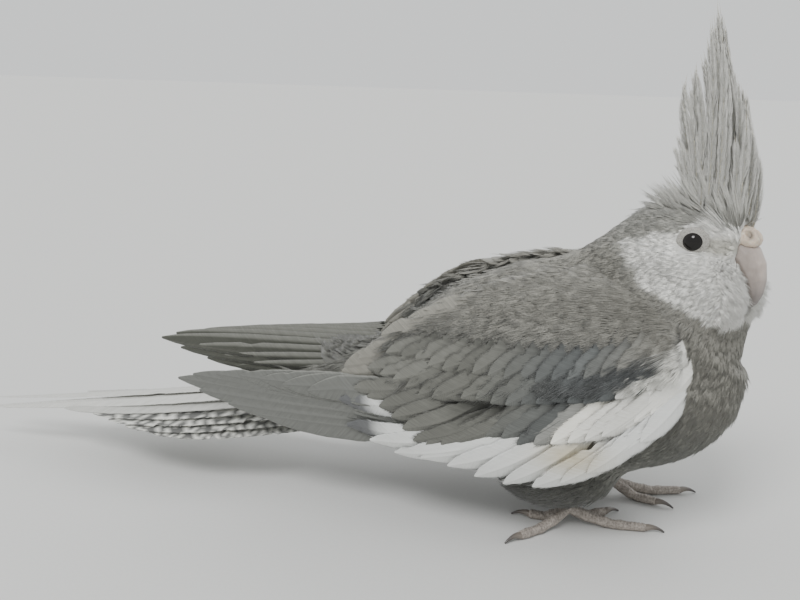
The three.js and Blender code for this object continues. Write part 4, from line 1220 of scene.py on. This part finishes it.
# The tail has twelve long vanes on one root, the middle pair longest and on top.
# The middle two pairs are plain pale grey. The outer ones step down in length and are barred with white.
TAIL_ROOT = np.array([-76, 0, 36.5])
TAIL_LENGTHS = [158, 118, 104, 96, 88, 78]
TAIL_DROP, TAIL_LEVEL, TAIL_SPREAD, TAIL_STEP = 0.171, 0.009, 0.034, 2.3
TAIL_ROWS, BAR_STEP = 44, 3.6
MIDDLE_FORM, OUTER_FORM = (10.5, TAIL_ROWS, 0.6, 0.2, 0.35, 0.8), (12.5, TAIL_ROWS, 0.6, 0.2, 0.6, 0.55)
tail_vanes = []
draw = np.random.default_rng(5)
for pair in reversed(range(6)):
    for side in (-1, 1):
        turn = side * (0.012 + TAIL_SPREAD * pair)
        high = 2.4 - TAIL_STEP * pair - (0 if side > 0 else 1.1)
        start = TAIL_ROOT + np.array([-10, side * (2.2 + 0.9 * pair), high])
        aim = np.array([-math.cos(turn), math.sin(turn), TAIL_LEVEL * pair - TAIL_DROP])
        t = np.linspace(0, 1, TAIL_ROWS)
        reach = TAIL_LENGTHS[pair] - 12
        centre = start + aim * (reach * t)[:, None]
        centre[:, 2] -= 1.2 * np.sin(math.pi * t)
        half = vane_half(*(OUTER_FORM if pair else MIDDLE_FORM))
        up = np.tile([0, side * 0.10, 1.0], (TAIL_ROWS, 1))
        one, tris, barbs, spots = vane(centre, up, half, draw, shaft=0.5, camber=0.12, splits=3)
        if pair < 2:
            tint = np.tile(linear(196, 196, 191) if pair == 0 else linear(180, 180, 175), (len(one), 1))
        else:
            phase = spots[:, 0] * reach / BAR_STEP + 0.9 * np.abs(spots[:, 1]) + 0.25 * ripple(one, 5, 60 + pair)
            bars = soft_step(np.sin(2 * math.pi * phase), -0.2, 0.5)[:, None]
            tint = blended(linear(92, 92, 90), linear(206, 206, 199), bars)
        tint = np.clip(tint * (1 + 0.12 * soft_step(np.abs(spots[:, 1]), 0.8, 1.0)[:, None]), 0, 1)
        tail_vanes += [(one, tris, tint, barbs), fringe_of(one, tint, draw, 160, 1.0, 0.1)]
skin_place = unwrap_finder(skin)
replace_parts(vane_piece("tail_feathers", "flight_feathers", flight_vane, tail_vanes, skin_place), "tail")

# The crest is a spray of slender loose feathers on the forehead, curling up at their tips.
# Each has a thin shaft and two rows of fine separate barbs.
CREST_TIPS = [(19, 33), (18.5, 39), (17, 46), (13, 53), (8.5, 60), (3.2, 77.4), (1.5, 66), (-0.4, 60.2),
              (-2.5, 57), (-3.6, 53), (-4, 46), (-4.5, 38), (-5, 30)]


def at_crest(points, facing):
    # Short soft feathers round the crest's root carry the forehead and crown up into it
    forward, side, up = head_place(points)
    return (forward > -9) & (forward < 21.5) & (side < 9) & (up > 10.5) & (facing[:, 2] > 0.1)


spot, facing, unwrap = sample_skin(skin.data, 0.92, at_crest, 150)
draw = np.random.default_rng(152)
forward, side, up = head_place(spot)
front = soft_step(forward, -9, 12)
way = (
    head_forward * np.interp(forward, [-9, 5, 21], [-1.0, -0.75, -0.15])[:, None]
    + np.array([0, 0, 1.0]) * np.interp(forward, [-9, 5, 21], [0.35, 0.9, 1.0])[:, None]
)
way = unit(way)
inner = soft_step(8.5 - side, 0, 4) * soft_step(forward, -9, -2)
rise = (inner * draw.uniform(0.2, 1.25, len(spot))).clip(0.12, 1)[:, None]
way = way * rise + flow_at(spot, facing) * (1 - rise)
way = unit(way)
size = 5.5 + (2.5 + 7 * front) * rise[:, 0]


def crest_root_tint(place):
    # The crown's own grey at the root of the crest, paler as the feathers rise
    pale = soft_step(head_place(place)[2], 14, 22)[:, None]
    return plumage(place) * (1 - pale) + linear(198, 197, 190) * pale


coat = barb_fans(spot, np.cross(np.cross(way, facing), way), unwrap, size, 2.4, 0.8, 151, number=8,
                 thick=0.12, stray=0.12, way=way, tint=crest_root_tint, painted_shade=0.95)
mesh_piece("crest_foot", "plumage_grey", soft_plume, *coat)


def taper(starts, mids, ends, thick, out):
    # Fine closed barbs from start over mid to end, all at once: a point, two rings of three and a point
    run = ends - starts
    run = run / (np.linalg.norm(run, axis=1)[:, None] + 1e-9)
    a = np.cross(run, out)
    a = a / (np.linalg.norm(a, axis=1)[:, None] + 1e-9)
    b = np.cross(run, a)
    rings = [starts[:, None]]
    for base, size in ((starts, 1.0), (mids, 0.75)):
        for angle in (0, 2.094, 4.189):
            rings.append((base + (a * math.cos(angle) + b * math.sin(angle)) * (thick * size)[:, None])[:, None])
    rings.append(ends[:, None])
    return np.concatenate(rings, axis=1)


PLUME_FACES, PLUME_POINTS = ring_faces(3, 2), 8
PLUMES, PLUME_ROWS, BARB_GAP, BARB_THICK, SHAFT_THICK = 60, 40, 0.36, 0.13, 0.26
draw = np.random.default_rng(11)
tips = along_line(CREST_TIPS, PLUMES)
plumes, crest_blocks, crest_tints, crest_patch = [], [], [], []
for index in range(PLUMES):
    share = index / (PLUMES - 1)
    row = draw.uniform(-1, 1)
    forward, up = tips[index] + draw.normal(0, 0.6, 2)
    if index % 3 == 1:
        forward, up = forward * 0.75 + 2.0, 16 + (up - 16) * draw.uniform(0.5, 0.8)
    base = head_point(20.5 - 19.5 * share, 5.2 * row, 11.4 + 2.6 * math.sin(3 * share) - 1.5 * abs(row))
    tip = head_point(forward, 1.8 * row, up)
    bow = base * 0.45 + tip * 0.55 + head_forward * (2.0 + 3.0 * share) + head_side * row * 1.2
    plumes.append((base, bow, tip))
for forward, row, up, lean in ((3.2, 0.0, 77.4, 8.5), (2.4, 0.3, 73, 8.0), (3.6, -0.3, 68, 7.5),
                               (-0.4, 0.4, 60.2, 3.0), (-3.6, -0.4, 56.6, 0.5)):
    base = head_point(13 + row, 2 * row, 13.0)
    tip = head_point(forward, 2 * row, up)
    plumes.append((base, head_point(forward - 3.4 + lean, 1.5 * row, 0.62 * up), tip))
for base, bow, tip in plumes:
    t = np.linspace(0, 1, PLUME_ROWS)[:, None]
    path = base * (1 - t) ** 2 + bow * 2 * t * (1 - t) + tip * t**2
    run = np.gradient(path, axis=0)
    run = unit(run)
    side = np.cross(run, np.tile(head_side + 0.3 * head_forward, (PLUME_ROWS, 1)))
    side = unit(side)
    out = np.cross(side, run)
    number = int(np.linalg.norm(tip - base) / BARB_GAP)
    root_place = skin_place(base)
    for hand in (-1, 1):
        s = draw.uniform(0.04, 0.9, number)
        start, way, wide, over = (
            np.column_stack([np.interp(s, t[:, 0], values[:, k]) for k in range(3)])
            for values in (path, run, side, out)
        )
        reach = (3.5 + 4.0 * np.sin(math.pi * s)) * draw.uniform(0.85, 1.15, number) * (1 - s**3 * 0.8)
        slant = draw.normal(0.24, 0.05, number) * hand
        aim = way * np.cos(slant)[:, None] + wide * np.sin(slant)[:, None]
        mid = start + aim * (reach * 0.55)[:, None] + over * draw.normal(0, 0.15, number)[:, None]
        end = mid + (way * 0.99 + wide * 0.03 * hand) * (reach * 0.5)[:, None]
        end += over * draw.normal(0, 0.2, number)[:, None]
        crest_blocks.append(taper(start, mid, end, np.full(number, BARB_THICK), over))
        tone = draw.normal(1, 0.07, number)[:, None, None] * np.ones((1, PLUME_POINTS, 1))
        tint = (linear(206, 205, 199) * (0.8 + 0.2 * s[:, None])).clip(0, 1)[:, None] * tone
        crest_tints.append(np.clip(tint, 0, 1).reshape(-1, 3))
        spread = np.stack([np.full(number * PLUME_POINTS, 0.5 + 0.4 * hand), np.repeat(s, PLUME_POINTS)], -1)
        crest_patch.append(root_place + (spread - 0.5) * UNWRAP_PATCH)
    for j in range(0, PLUME_ROWS - 2, 2):  # the shaft: overlapping short tapers along the path
        thick = np.array([SHAFT_THICK * (1 - 0.75 * j / PLUME_ROWS)])
        ends = path[min(j + 4, PLUME_ROWS - 1)][None]
        crest_blocks.append(taper(path[j:j + 1], path[j + 1:j + 2], ends, thick, out[j:j + 1]))
        crest_tints.append(np.tile(linear(196, 190, 168), (PLUME_POINTS, 1)))
        crest_patch.append(root_place + np.tile([0, (j / PLUME_ROWS - 0.5) * UNWRAP_PATCH], (PLUME_POINTS, 1)))
crest_blocks = np.concatenate(crest_blocks)
crest = mesh_piece("crest_plumes", "plumage_grey", soft_plume, to_scene(crest_blocks.reshape(-1, 3)),
                   repeat_faces(PLUME_FACES, len(crest_blocks), PLUME_POINTS),
                   np.concatenate(crest_tints), np.concatenate(crest_patch))
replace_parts(crest, "crest")
